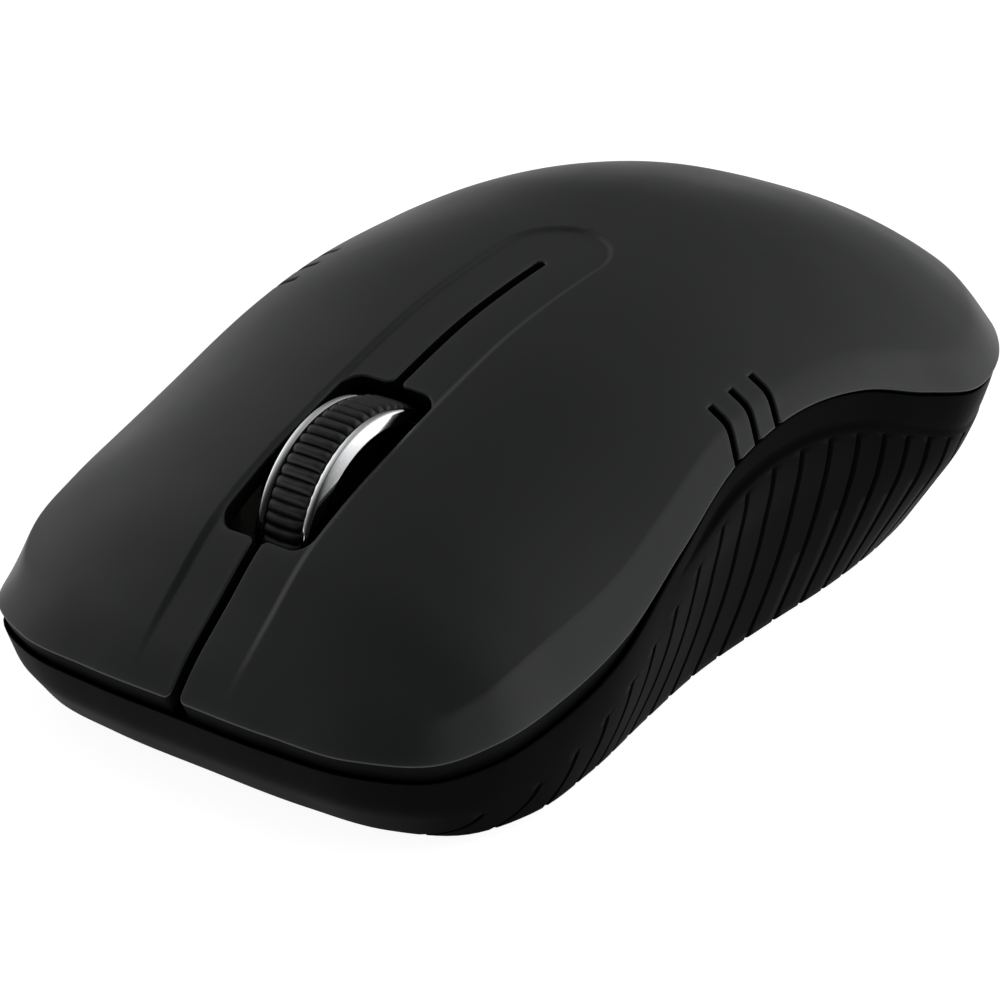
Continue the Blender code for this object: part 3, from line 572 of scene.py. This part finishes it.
def cover_sheet():
    """The whole cover as points, normals, inner normals and triangles, mirrored about x = 0."""
    outline = cover_outline()
    edge_x = float(outline[np.abs(outline[:, 1] - SPLIT_Y) < 1e-6][:, 0].max())
    seam = [(edge_x - offset, SPLIT_Y) for offset in SEAM_ROWS]
    outer, inner = CHANNEL_HALF + CHANNEL_ROWS[-1], CHANNEL_HALF + CHANNEL_ROWS[0]
    seam += between(seam[-1], (outer, SPLIT_Y), 0.8)[1:].tolist()
    seam += [(CHANNEL_HALF - offset, SPLIT_Y) for offset in CHANNEL_ROWS]
    seam += between((inner, SPLIT_Y), (0.0, SPLIT_Y), 0.7)[1:].tolist()
    points = outline.tolist() + [list(point) for point in seam]
    count = len(outline)
    first = int(np.argmin(np.abs(outline - (edge_x, SPLIT_Y)).sum(axis=1)))
    last = int(np.argmin(np.abs(outline - (0.0, SPLIT_Y)).sum(axis=1)))
    chain = [first, *range(count, len(points)), last]
    points += inner_points(outline)
    found = delaunay_2d_cdt([Vector(point) for point in points], list(zip(chain, chain[1:])),
                            [list(range(count))], 1, 1e-7)
    plan = np.array([tuple(point) for point in found[0]])
    plan[np.abs(plan[:, 0]) < 1e-5, 0] = 0.0
    triangles = np.array(found[2])
    a, b, c = (plan[triangles[:, i]] for i in range(3))
    area = (b[:, 0] - a[:, 0]) * (c[:, 1] - a[:, 1]) - (b[:, 1] - a[:, 1]) * (c[:, 0] - a[:, 0])
    triangles[area < 0] = triangles[area < 0][:, ::-1]
    x, y = plan.T
    verts = np.column_stack((x, y, cover_surface(x, y)))
    normals = surface_normal(x, y)
    inner = surface_normal(x, y, 2.5)
    middle = x == 0.0
    normals[middle, 0] = 0.0
    inner[middle, 0] = 0.0
    twin = np.where(middle, np.arange(len(plan)), len(plan) + np.cumsum(~middle) - 1)
    flip = np.array((-1.0, 1.0, 1.0))
    verts = np.vstack((verts, verts[~middle] * flip))
    normals = unit(np.vstack((normals, normals[~middle] * flip)))
    inner = unit(np.vstack((inner, inner[~middle] * flip)))
    triangles = np.vstack((triangles, twin[triangles][:, ::-1]))
    return verts, normals, inner, triangles


def open_edges(triangles):
    """The directed edges that no other triangle shares."""
    pairs = {(int(t[i]), int(t[(i + 1) % 3])) for t in triangles for i in range(3)}
    return {pair for pair in pairs if pair[::-1] not in pairs}


def outward_vectors(verts, normals, rims):
    """At each rim point, the direction out of the sheet, long enough to keep a rim's width."""
    total = np.zeros((len(verts), 2))
    for a, b in rims:
        run = unit(verts[b, :2] - verts[a, :2])
        for i in (a, b):
            total[i] += (run[1] / 2, -run[0] / 2)
    size = np.linalg.norm(total, axis=1)
    on_rim = size > 1e-9
    total[on_rim] /= np.maximum(size[on_rim], 0.6)[:, None] ** 2
    total[(verts[:, 0] == 0.0) & on_rim, 0] = 0.0
    flat = np.column_stack((total, np.zeros(len(verts))))
    tangent = flat - np.einsum("ij,ij->i", flat, normals)[:, None] * normals
    length = np.linalg.norm(flat, axis=1)[:, None]
    return unit(tangent) * length


ROLL = np.radians((22.5, 45.0, 67.5, 90.0))


def band_ends(points):
    """Where the wall under the cover's edge ends, for rim points on that edge; nan for others."""
    side = np.where(points[:, 0] < 0, -1.0, 1.0)
    plan = np.stack((np.abs(points[:, 0]), points[:, 1]), axis=1)
    i = ((plan[:, None] - EDGE[None, :, :2]) ** 2).sum(axis=2).argmin(axis=1)
    off = np.abs(np.linalg.norm(plan - EDGE[i, :2], axis=1) - RIM)
    nose = ramp(EDGE[i, 1], *NOSE_BLEND)
    inward = BAND_IN[0] + (BAND_IN[1] - BAND_IN[0]) * nose
    drop = BAND_DROP[0] + (BAND_DROP[1] - BAND_DROP[0]) * nose
    foot = np.column_stack((EDGE[i, :2] + INWARDS[i] * inward[:, None], EDGE[i, 2] - drop))
    foot[:, 0] *= side
    foot[off > 0.08] = np.nan
    return foot


def cover_piece(name, sheet, keep, rims, outward):
    """One closed shell from the sheet's triangles in keep, with rolled rims and an inner wall.

    Its outer face has the first look, its inner face the second, and the wall under its edge
    the third.
    """
    verts, normals, inner, triangles = sheet
    used = np.unique(triangles[keep])
    index = np.full(len(verts), -1)
    index[used] = np.arange(len(used))
    count = len(used)
    top, up, under = verts[used], normals[used], inner[used]
    tris = index[triangles[keep]]
    points = [top, top - under * WALL]
    faces = [tuple(t) for t in tris.tolist()]
    looks = [0] * len(faces)
    corner_normals = [up[i] for t in tris for i in t]
    for t in tris.tolist():
        faces.append(tuple(i + count for i in t[::-1]))
        corner_normals += [-under[i] for i in t[::-1]]
    looks += [1] * len(tris)

    back = {int(index[v]): int(v) for v in used}
    border = open_edges(tris)
    rim_edges = [pair for pair in border if (back[pair[0]], back[pair[1]]) in rims]
    split_edges = [pair for pair in border if (back[pair[0]], back[pair[1]]) not in rims]
    rim_verts = sorted({i for pair in rim_edges for i in pair})
    ring = {}
    extra, extra_normals = [], []
    ends = band_ends(top[rim_verts])
    for i, end in zip(rim_verts, ends):
        out = outward[back[i]]
        across = unit(out)
        chain = []
        for angle in ROLL:
            extra.append(top[i] + RIM * (math.sin(angle) * out - (1 - math.cos(angle)) * up[i]))
            extra_normals.append(unit(math.sin(angle) * across + math.cos(angle) * up[i]))
            chain.append(2 * count + len(extra) - 1)
        if np.isnan(end[0]):
            end = top[i] + RIM * out - WALL * under[i]
        wall_run = unit(end - extra[-1])
        extra.append(end)
        extra_normals.append(unit(across - (across @ wall_run) * wall_run))
        chain.append(2 * count + len(extra) - 1)
        ring[i] = chain
    points = np.vstack((*points, extra))
    normal_at = np.vstack((up, -under, extra_normals))
    for a, b in rim_edges:
        left = [a, *ring[a], a + count]
        right = [b, *ring[b], b + count]
        for row in range(len(left) - 1):
            face = (right[row], left[row], left[row + 1], right[row + 1])
            faces.append(face)
            if row < len(ROLL):
                looks.append(0)
                corner_normals += [normal_at[i] for i in face]
            elif row == len(ROLL):
                looks.append(2)
                corner_normals += [normal_at[ring[i][-1]] for i in (b, a, a, b)]
            else:
                looks.append(1)
                corner_normals += [-under[i] for i in (b, a, a, b)]
    for a, b in split_edges:
        walls = [(b, a, a + count, b + count)]
        walls += [(a, *ring[a], a + count)] if a in ring else []
        walls += [(b, b + count, *ring[b][::-1])] if b in ring else []
        for wall in walls:
            faces.append(wall)
            looks.append(1)
            corner_normals += [(0.0, 0.0, 0.0)] * len(wall)
    # The rolled rims, and the top near them, are marked for a lighter colour that fades inwards: part
    # wear, part painted highlight.
    distance = np.full(len(points), UNMARKED)
    rims_xy = top[rim_verts][:, :2]
    for start in range(0, count, 4000):
        part = top[start:start + 4000, :2]
        gaps = ((part[:, None] - rims_xy[None]) ** 2).sum(axis=2).min(axis=1)
        distance[start:start + len(gaps)] = np.sqrt(gaps)
    distance[2 * count:] = 0.0
    distance[[chain[-1] for chain in ring.values()]] = UNMARKED
    wear_and_painted_highlight = np.exp(-distance / WEAR_AND_HIGHLIGHT_REACH)
    return new_piece(name, points, faces, [SOFT, SHELL, GRIP], looks, corner_normals, wear_and_painted_highlight)


def build_cover():
    sheet = cover_sheet()
    verts, normals, _, triangles = sheet
    rims = open_edges(triangles)
    outward = outward_vectors(verts, normals, rims)
    middle = verts[triangles].mean(axis=1)
    behind = middle[:, 1] > SPLIT_Y
    palm = cover_piece("cover_palm", sheet, behind, rims, outward)
    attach(palm, "root")
    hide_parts("palm_cover")
    for side, sign in (("left", 1), ("right", -1)):
        keep = ~behind & (middle[:, 0] * sign > 0)
        finger = cover_piece(f"cover_{side}_key", sheet, keep, rims, outward)
        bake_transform(finger)
        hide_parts(f"{side}_button")


# ---- grip skirt ----
SHARE = np.linspace(0.0, 1.0, len(EDGE))
LENGTH = float(np.linalg.norm(np.diff(EDGE[:, :2], axis=0), axis=1).sum())
BASE = half_outline(np.column_stack((BASE_EDGE, np.zeros(len(BASE_EDGE)))), len(EDGE) - 1)[:, :2]
LIP = np.column_stack((EDGE[:, :2] + INWARDS * SKIRT_INSET, EDGE[:, 2] - SEAM_GAP))
LIP[:, 2] -= KEY_GAP * ramp(EDGE[:, 1], 4.0, -8.0) + NOSE_GAP * ramp(EDGE[:, 1], *NOSE_BLEND)


def along(table, share):
    """A table given along the half outline, read at shares of its length."""
    return np.stack([np.interp(share, SHARE, column) for column in table.T], axis=-1)


def skirt_point(share, z):
    """Points on the skirt's outer face, before its grooves are cut, and the way inwards."""
    edge, lip, base, inwards = (along(table, share) for table in (EDGE, LIP, BASE, INWARDS))
    y = edge[:, 1]
    drop = lip[:, 2] - SKIRT_BOTTOM
    depth = np.clip((lip[:, 2] - z) / drop, 0.0, 1.0)
    knee = (lip[:, 2] - smooth(*zip(*KNEE), y)) / drop
    there = KNEE_DRAW * knee ** DRAW_POWER
    upper = there / knee * depth
    lower = 1 - (1 - there) / (1 - knee) * (1 - depth)
    mix = np.clip(0.5 + 0.5 * (lower - upper) / KNEE_SOFT, 0.0, 1.0)
    bent = upper * (1 - mix) + lower * mix + KNEE_SOFT * mix * (1 - mix)
    strength = smooth(*zip(*KNEE_STRENGTH), y)
    drawn = np.clip((1 - strength) * depth ** DRAW_POWER + strength * bent, 0.0, 1.0)[:, None]
    plan = lip[:, :2] * (1 - drawn) + base * drawn
    below = edge[:, 2] - smooth(*zip(*FOLD_DROP), y) - z
    there = ramp(y, -16.0, -6.0) * (1 - 0.75 * ramp(y, 12.0, 26.0))
    bulge = SHOULDER * ramp(below, -0.15, 0.55) * (1 - ramp(below, 1.0, 7.0))
    bulge = there * (bulge - VALLEY * np.exp(-(below / 0.45) ** 2))
    return np.column_stack((plan - inwards * bulge[:, None], z)), inwards


def skirt_columns():
    """Where the skirt's columns stand along the half outline, and how deep a groove cuts each."""
    knots, places = zip(*GROOVE_PLACES)
    tops = smooth(knots, places, np.arange(knots[0], knots[-1] + 1.0))
    offsets, weights = np.array(GROOVE_SHAPE).T
    door = float(np.interp(-DOOR_REACH, -BASE[800:, 0], SHARE[800:])) * LENGTH
    places, cuts, last = [0.0], [0.0], 0.0
    for place in tops:
        land = np.linspace(last, place + offsets[0], max(3, round((place - last) / 1.1)) + 1)[1:-1]
        places += [*land, *(place + offsets)]
        cuts += [*(0.0 * land), *weights]
        last = places[-1]
    for end in (door - DOOR_STEP, LENGTH):
        land = np.linspace(last, end, round((end - last) / 1.0) + 2)[1:]
        places += land.tolist()
        cuts += (0.0 * land).tolist()
        last = door + DOOR_STEP
        if end < LENGTH:
            places.append(last)
            cuts.append(0.0)
    return np.array(places), np.array(cuts), door


def build_skirt():
    """The black side wall, with its rolled lip, the fold along each side and the slanted grooves."""
    run, cuts, door = skirt_columns()
    share = run / LENGTH
    edge, lip = along(EDGE, share), along(LIP, share)
    y = edge[:, 1]
    fold = edge[:, 2] - smooth(*zip(*FOLD_DROP), y)
    top = np.minimum(smooth(*zip(*GROOVE_TOPS), run), fold - 0.6)
    foot = np.where(run > door, DOOR_SILL, SKIRT_BOTTOM)
    bow, sweep = (smooth(*zip(*table), run) for table in (GROOVE_BOW, GROOVE_SWEEP))
    fade = 1 - ramp(y, 33.5, 40.0)
    start = lip[:, 2] - SKIRT_ROUND
    levels = [start + (fold + 0.35 - start) * step / 10 for step in range(10)]
    levels += [fold + step for step in (0.35, 0.18, 0.05, -0.08, -0.2, -0.32, -0.45)]
    low = fold - 0.45
    levels += [low + (top - low) * step / 5 for step in range(1, 5)]
    rings = []
    wear_and_painted_highlight = []
    for turn in (90.0, 60.0, 30.0):
        angle = math.radians(turn)
        points, inwards = skirt_point(share, lip[:, 2])
        points[:, :2] += inwards * SKIRT_ROUND * (1 - math.cos(angle))
        points[:, 2] -= SKIRT_ROUND * (1 - math.sin(angle))
        rings.append(points)
        # The rolled lip is marked all along for a lighter colour: part wear, part painted highlight.
        wear_and_painted_highlight.append(np.ones(len(run)))
    for z in levels:
        rings.append(skirt_point(share, z)[0])
        wear_and_painted_highlight.append(np.full(len(run), 0.0))
    steps = 26
    for step in range(steps + 1):
        down = (step / steps) ** 1.25
        z = top * (1 - down) + (foot + SKIRT_ROUND) * down
        leant = (run + bow * down - sweep * down ** SWEEP_POWER) / LENGTH
        points, inwards = skirt_point(leant, z)
        begun = np.sqrt(np.clip((top - z) / GROOVE_START, 0.0, 1.0))
        points[:, :2] += inwards * (GROOVE_DEPTH * cuts * fade * begun)[:, None]
        rings.append(points)
        # The shoulders of each groove are marked half as much: part wear, part painted highlight.
        wear_and_painted_highlight.append(0.5 * begun * (cuts == GROOVE_SHAPE[1][1]))
    for inset, rise, at, level in (
            (SKIRT_ROUND, 0.0, leant, foot), (SKIRT_WALL, 0.0, leant, foot),
            (SKIRT_WALL, 0.0, (leant + share) / 2, (foot + top) / 2),
            (SKIRT_WALL, 0.0, share, top), (SKIRT_WALL, -LIP_SLOPE, share, lip[:, 2])):
        points, inwards = skirt_point(at, level + rise)
        if inset < SKIRT_WALL:
            points[:, :2] += inwards * (GROOVE_DEPTH * cuts * fade)[:, None]
        points[:, :2] += inwards * inset
        rings.append(points)
        wear_and_painted_highlight.append(np.zeros(len(run)))
    points, inwards = skirt_point(share, lip[:, 2])
    thin = LIP_INNER[0] + (LIP_INNER[1] - LIP_INNER[0]) * ramp(y, *NOSE_BLEND)
    points[:, :2] += inwards * thin[:, None]
    points[:, 2] -= LIP_SLOPE / 2
    rings.append(points)
    wear_and_painted_highlight.append(np.zeros(len(run)))
    grid = np.array(rings).transpose(1, 0, 2)
    grid[0, :, 0] = grid[-1, :, 0] = 0.0
    columns, rows = grid.shape[:2]
    number = np.arange(columns * rows).reshape(columns, rows)
    twin = number + columns * rows - rows
    twin[0], twin[-1] = number[0], number[-1]
    points = np.vstack((grid.reshape(-1, 3), (grid[1:-1] * (-1.0, 1.0, 1.0)).reshape(-1, 3)))
    worn_and_highlit = np.array(wear_and_painted_highlight).T
    worn_and_highlit = np.concatenate((worn_and_highlit.ravel(), worn_and_highlit[1:-1].ravel()))
    ahead = np.roll(number, -1, axis=1)
    behind = np.roll(twin, -1, axis=1)
    faces = np.concatenate((
        np.stack((number[:-1], ahead[:-1], ahead[1:], number[1:]), axis=-1).reshape(-1, 4),
        np.stack((twin[:-1], twin[1:], behind[1:], behind[:-1]), axis=-1).reshape(-1, 4)))
    skirt = new_piece("side_skirt", points, faces.tolist(), [GRIP], wear_and_painted_highlight=worn_and_highlit)
    face_out(skirt, 50.0)
    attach(skirt, "root")
    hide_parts("grip_skirt")


# ---- scroll wheel ----
def spun(name, profile, look, steps, ribs=0, rib_depth=0.0):
    """A closed profile of x, radius and rib share, spun round the wheel's axle."""
    x, radius, share = np.array(profile).T
    turn = np.linspace(0.0, 2 * math.pi, steps, endpoint=False)
    relief = rib_depth * (1 - np.abs(np.sin(ribs / 2 * turn)) ** RIB_ROUND)
    reach = radius - share * relief[:, None]
    points = np.stack((np.broadcast_to(x, reach.shape),
                       WHEEL[1] + reach * np.cos(turn)[:, None],
                       WHEEL[2] + reach * np.sin(turn)[:, None]), axis=-1).reshape(-1, 3)
    number = np.arange(steps * len(x)).reshape(steps, len(x))
    ahead = np.roll(number, -1, axis=0)
    faces = np.stack((number, ahead, np.roll(ahead, -1, axis=1), np.roll(number, -1, axis=1)), axis=-1)
    made = new_piece(name, points, faces.reshape(-1, 4).tolist(), [look])
    face_out(made, 38.0)
    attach(made, "wheel")
    return made


def both_sides(profile):
    """A profile given from its middle outwards, carried on as its own mirror image."""
    return [*profile, *((-x, radius, share) for x, radius, share in reversed(profile))]


def build_wheel():
    tread = spun("wheel_ribbed_tread", both_sides((
        (0.0, TREAD_R, 1.0), (0.9, TREAD_R, 1.0), (1.45, TREAD_R - 0.03, 1.0),
        (1.75, TREAD_R - 0.14, 0.9), (1.95, TREAD_R - 0.36, 0.6), (2.05, TREAD_R - 0.65, 0.2),
        (2.05, TREAD_R - 0.9, 0.0), (2.05, 8.95, 0.0))), TREAD, RIBS * 12, RIBS, RIB_DEPTH)
    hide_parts("wheel_tread")
    for side_name, side in (("left", 1), ("right", -1)):
        rim = [(side * x, radius, 0.0) for x, radius in (
            (2.16, 8.72), (2.16, 10.52), (2.2, 10.64), (2.32, 10.7), (2.72, 10.7), (2.84, 10.67),
            (2.95, 10.58), (3.02, 10.46), (3.36, 9.66), (3.4, 9.54), (3.38, 9.42), (3.3, 9.36),
            (3.1, 9.3), (3.0, 9.2), (2.96, 8.72))]
        ring = spun(f"wheel_chrome_ring_{side_name}", rim, CHROME, 240)
        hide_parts(f"{side_name}_wheel_rim")
    hub = spun("wheel_core", both_sides((
        (1.9, 8.66, 0.0), (2.7, 8.66, 0.0), (2.82, 8.6, 0.0), (2.86, 8.45, 0.0), (2.8, 8.3, 0.0),
        (2.3, 8.1, 0.0), (2.1, 7.9, 0.0), (2.0, 7.5, 0.0), (2.0, 4.6, 0.0), (2.1, 4.2, 0.0),
        (2.4, 3.9, 0.0), (3.3, 3.6, 0.0), (3.5, 3.4, 0.0), (3.55, 3.2, 0.0), (3.55, 1.7, 0.0),
        (3.4, 1.55, 0.0))), GLOSS, 96)
    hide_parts("wheel_hub")


def build_spring():
    """The coil under the wheel's free end, with its last turns closed up."""
    (x, y), steps, sides = SPRING_PLACE, 30, 10
    turn = np.linspace(0.0, SPRING_TURNS, SPRING_TURNS * steps + 1)
    rise = np.interp(turn / SPRING_TURNS, *np.transpose(SPRING_RISE))
    height = SPRING_LOW + (SPRING_HIGH - SPRING_LOW) * rise
    angle = 2 * math.pi * turn
    points = []
    for a, z in zip(angle, height):
        for side in np.arange(sides) * 2 * math.pi / sides:
            out = SPRING_R + SPRING_WIRE * math.cos(side)
            points.append((x + out * math.cos(a), y + out * math.sin(a),
                           z + SPRING_WIRE * math.sin(side)))
    rings = len(angle)
    faces = [(r * sides + i, r * sides + (i + 1) % sides, (r + 1) * sides + (i + 1) % sides,
              (r + 1) * sides + i) for r in range(rings - 1) for i in range(sides)]
    faces += [tuple(range(sides))[::-1], tuple(range((rings - 1) * sides, rings * sides))]
    coil = new_piece("coil_spring", points, faces, [STEEL])
    face_out(coil, 50.0)
    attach(coil, "root")
    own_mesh(coil)
    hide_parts("wheel_spring")


# ---- underside ----
def slab(name, outline, low, high, looks=()):
    """A plan outline extruded from low to high."""
    count = len(outline)
    verts = [(x, y, z) for z in (low, high) for x, y in outline]
    faces = [tuple(range(count))[::-1], tuple(range(count, 2 * count))]
    faces += [(i, (i + 1) % count, (i + 1) % count + count, i + count) for i in range(count)]
    made = new_piece(name, verts, faces, looks)
    face_out(made)
    return made


def rounded(centre, size, corner, steps=6):
    """A rounded rectangle in plan."""
    (x, y), (width, depth) = centre, size
    reach = (width / 2 - corner, depth / 2 - corner)
    return np.vstack([arc((x + sx * reach[0], y + sy * reach[1]), corner, start, start + 90, steps)
                      for sx, sy, start in ((1, 1, 0), (-1, 1, 90), (-1, -1, 180), (1, -1, 270))])


def settle(target, changes=(), edge=0.0, segments=2, angle=30.0):
    """Cuts with or joins the given solids, softens the edges and leaves one plain mesh."""
    for solid, operation in changes:
        change = target.modifiers.new(solid.name, "BOOLEAN")
        change.operation = operation
        change.solver = "EXACT"
        change.object = solid
    if edge:
        soften = target.modifiers.new("edges", "BEVEL")
        soften.width = edge * MM
        soften.segments = segments
        soften.limit_method = "ANGLE"
        soften.angle_limit = math.radians(angle)
        soften.use_clamp_overlap = True
    graph = bpy.context.evaluated_depsgraph_get()
    settled = bpy.data.meshes.new_from_object(target.evaluated_get(graph))
    settled.name = target.name
    looks = list(target.data.materials)
    target.modifiers.clear()
    target.data = settled
    settled.materials.clear()
    for look in looks:
        settled.materials.append(look)
    for solid, _ in changes:
        bpy.data.objects.remove(solid)
    face_out(target, 38.0)
    even_shading(target)


def even_shading(target):
    """Shades each rounded edge so that the flat faces beside it stay flat."""
    weigh = target.modifiers.new("shading", "WEIGHTED_NORMAL")
    weigh.keep_sharp = True
    graph = bpy.context.evaluated_depsgraph_get()
    shaded = bpy.data.meshes.new_from_object(target.evaluated_get(graph), depsgraph=graph,
                                             preserve_all_data_layers=True)
    shaded.name = target.name
    target.modifiers.clear()
    target.data = shaded


def base_outline(inset, spacing=10):
    """The foot of the skirt in plan, drawn in by inset."""
    half = BASE + INWARDS * inset
    half = half[::spacing]
    half[0, 0] = half[-1, 0] = 0.0
    return np.vstack((half, (half * (-1.0, 1.0))[-2:0:-1]))


def cut_away(*shapes):
    """Cuts for settle(), from plan outlines with the heights they run between."""
    return [(slab(f"cutter_{i}", outline, low, high), "DIFFERENCE")
            for i, (outline, low, high) in enumerate(shapes)]


def build_base():
    """The floor with its rim, screw bosses and recesses, and what is let into it from below."""
    floor = slab("base_floor", base_outline(SKIRT_WALL - 0.05), PLATE_BOTTOM, RIM_TOP, [SHELL])
    changes = cut_away(
        (base_outline(SKIRT_WALL + 1.4), PLATE_TOP, 20.0),
        (rounded((0, 27.0), (80.0, 68.0), 0.5), PLATE_TOP, 20.0),
        (rounded((0, 28.0 + DOOR_FRONT), (2 * DOOR_HALF + 0.3, 56.3), 1.2), 0.0, 3.0),
        (rounded((0, SENSOR_Y), (8.0, 6.0), 2.9), 0.0, 4.0),
        (rounded((0, SENSOR_Y), (12.5, 9.5), 4.5), 0.0, PLATE_BOTTOM + 0.4),
        (rounded(POWER_PLACE, (3.4, 6.4), 0.6), 0.0, 4.0),
        (rounded(POWER_PLACE, (6.4, 10.6), 1.6), 0.0, PLATE_BOTTOM + 0.35),
        (rounded(LABEL_PLACE, LABEL_SIZE, 1.2), 0.0, PLATE_BOTTOM + 0.25))
    for side in (-1, 1):
        x, y = side * SCREW_BOARD[0], SCREW_BOARD[1]
        boss = slab(f"boss{side}", arc((x, y), 2.3, 0, 350, 35), 1.8, BOARD_BOTTOM - 0.3)
        changes.append((boss, "UNION"))
        changes += cut_away((arc((x, y), 1.2, 0, 345, 23), 2.2, 10.0))
        x, y = side * SCREW_CASE[0], SCREW_CASE[1]
        changes += cut_away((arc((x, y), 2.2, 0, 350, 35), 0.0, 1.8),
                            (arc((x, y), 1.2, 0, 345, 23), 0.0, 4.0))
    settle(floor, changes, 0.12)
    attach(floor, "root")
    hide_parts("base_plate")
    label = slab("blank_label", rounded(LABEL_PLACE, [side - 0.5 for side in LABEL_SIZE], 1.0),
                 PLATE_BOTTOM + 0.08, PLATE_BOTTOM + 0.23, [LABEL])
    settle(label, edge=0.04)
    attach(label, "root")


def build_door():
    """The battery door, with a thumb grip and an arrow let into it."""
    tail = base_outline(0.0, 5)
    tail = tail[(np.abs(tail[:, 0]) < DOOR_HALF) & (tail[:, 1] > 0)]
    outline = np.vstack(((DOOR_HALF, DOOR_FRONT), tail, (-DOOR_HALF, DOOR_FRONT)))
    door = slab("door_panel", outline, PLATE_BOTTOM, DOOR_TOP, [SHELL])
    grip = [(rounded((0.0, 3.0 + 1.5 * step), (15.0 - abs(step - 2.5) * 1.2, 0.7), 0.34), 0.0,
             PLATE_BOTTOM + 0.35) for step in range(6)]
    arrow = [(0.0, 18.4), (-3.2, 14.6), (-1.3, 14.6), (-1.3, 13.2), (1.3, 13.2), (1.3, 14.6),
             (3.2, 14.6)]
    settle(door, cut_away(*grip, (arrow, 0.0, PLATE_BOTTOM + 0.2)), 0.14)
    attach(door, "battery_door")
    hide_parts("battery_door")


def build_feet():
    for name, centre, size in (
            ("front_left_foot", (14.5, -37.5), (13.0, 4.2)),
            ("front_right_foot", (-14.5, -37.5), (13.0, 4.2)),
            ("rear_left_foot", (20.4, 13.0), (3.8, 17.0)),
            ("rear_right_foot", (-20.4, 13.0), (3.8, 17.0))):
        pad = slab(f"glide_{name}", rounded(centre, size, 1.8, 10), 0.0, FOOT_TOP, [GLIDE])
        settle(pad, edge=0.22, segments=4)
        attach(pad, "root")
        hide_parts(name)


def dress_frame():
    """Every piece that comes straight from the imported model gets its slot's material."""
    for part in frame["record"]["subparts"]:
        mesh = frame["nodes"][part["node"]].data
        mesh.materials.clear()
        mesh.materials.append(LOOKS[part["material_slot"]])


# ---- stage ----
def worked(tree, kind, operation, source, value):
    """A maths node that works on source and a value of its own."""
    made = tree.nodes.new(f"ShaderNode{kind}")
    made.operation = operation
    made.inputs[1].default_value = value
    tree.links.new(source, made.inputs[0])
    return made


def build_stage():
    """A pale paper floor that glows to stay white, and a dark room with soft lights round it."""
    mesh = bmesh.new()
    bmesh.ops.create_grid(mesh, x_segments=2, y_segments=2, size=FLOOR_HALF)
    data = bpy.data.meshes.new("floor")
    mesh.to_mesh(data)
    mesh.free()
    floor = bpy.data.objects.new("floor", data)
    bpy.context.collection.objects.link(floor)
    look = bpy.data.materials.new("floor_paper")
    look.use_nodes = True
    shader = look.node_tree.nodes["Principled BSDF"]
    shader.inputs["Base Color"].default_value = (*FLOOR_PAPER, 1.0)
    shader.inputs["Roughness"].default_value = 0.9
    shader.inputs["Emission Color"].default_value = (1.0, 1.0, 1.0, 1.0)
    shader.inputs["Emission Strength"].default_value = FLOOR_GLOW
    data.materials.append(look)

    world = bpy.data.worlds.new("studio")
    bpy.context.scene.world = world
    world.use_nodes = True
    nodes, links = world.node_tree.nodes, world.node_tree.links
    place = nodes.new("ShaderNodeTexCoord")
    total = None
    for azimuth, elevation, strength in SKY_LOBES:
        turn, lift = math.radians(azimuth), math.radians(elevation)
        towards = (math.sin(turn) * math.cos(lift), -math.cos(turn) * math.cos(lift),
                   math.sin(lift))
        facing = worked(world.node_tree, "VectorMath", "DOT_PRODUCT", place.outputs["Generated"],
                        towards)
        above = worked(world.node_tree, "Math", "MAXIMUM", facing.outputs["Value"], 0.0)
        spread = worked(world.node_tree, "Math", "POWER", above.outputs["Value"], SKY_SPREAD)
        gain = worked(world.node_tree, "Math", "MULTIPLY_ADD", spread.outputs["Value"], strength)
        if total is None:
            gain.inputs[2].default_value = SKY_FILL
        else:
            links.new(total, gain.inputs[2])
        total = gain.outputs["Value"]
    links.new(total, nodes["Background"].inputs["Color"])


def build_camera():
    """A long lens on a 36 mm wide film."""
    azimuth, elevation, roll = (math.radians(angle) for angle in CAMERA_AIM)
    back = Vector((math.sin(azimuth) * math.cos(elevation), -math.cos(azimuth) * math.cos(elevation),
                   math.sin(elevation)))
    right = Vector((math.cos(azimuth), math.sin(azimuth), 0.0))
    up = back.cross(right)
    across = right * math.cos(roll) + up * math.sin(roll)
    above = up * math.cos(roll) - right * math.sin(roll)
    data = bpy.data.cameras.new("camera")
    data.sensor_width = 36.0
    data.lens = CAMERA_LENS
    data.shift_x, data.shift_y = CAMERA_SHIFT
    data.clip_start = 0.01
    data.clip_end = 20.0
    camera = bpy.data.objects.new("camera", data)
    turn = Matrix((across, above, back)).transposed().to_4x4()
    place = Vector(CAMERA_TARGET) + back * CAMERA_DISTANCE
    camera.matrix_world = Matrix.Translation(place * MM) @ turn
    bpy.context.collection.objects.link(camera)
    bpy.context.scene.camera = camera


dress_frame()
build_cover()
build_skirt()
build_wheel()
build_spring()
build_base()
build_door()
build_feet()
build_stage()
build_camera()
bpy.context.scene.view_settings.view_transform = "Standard"
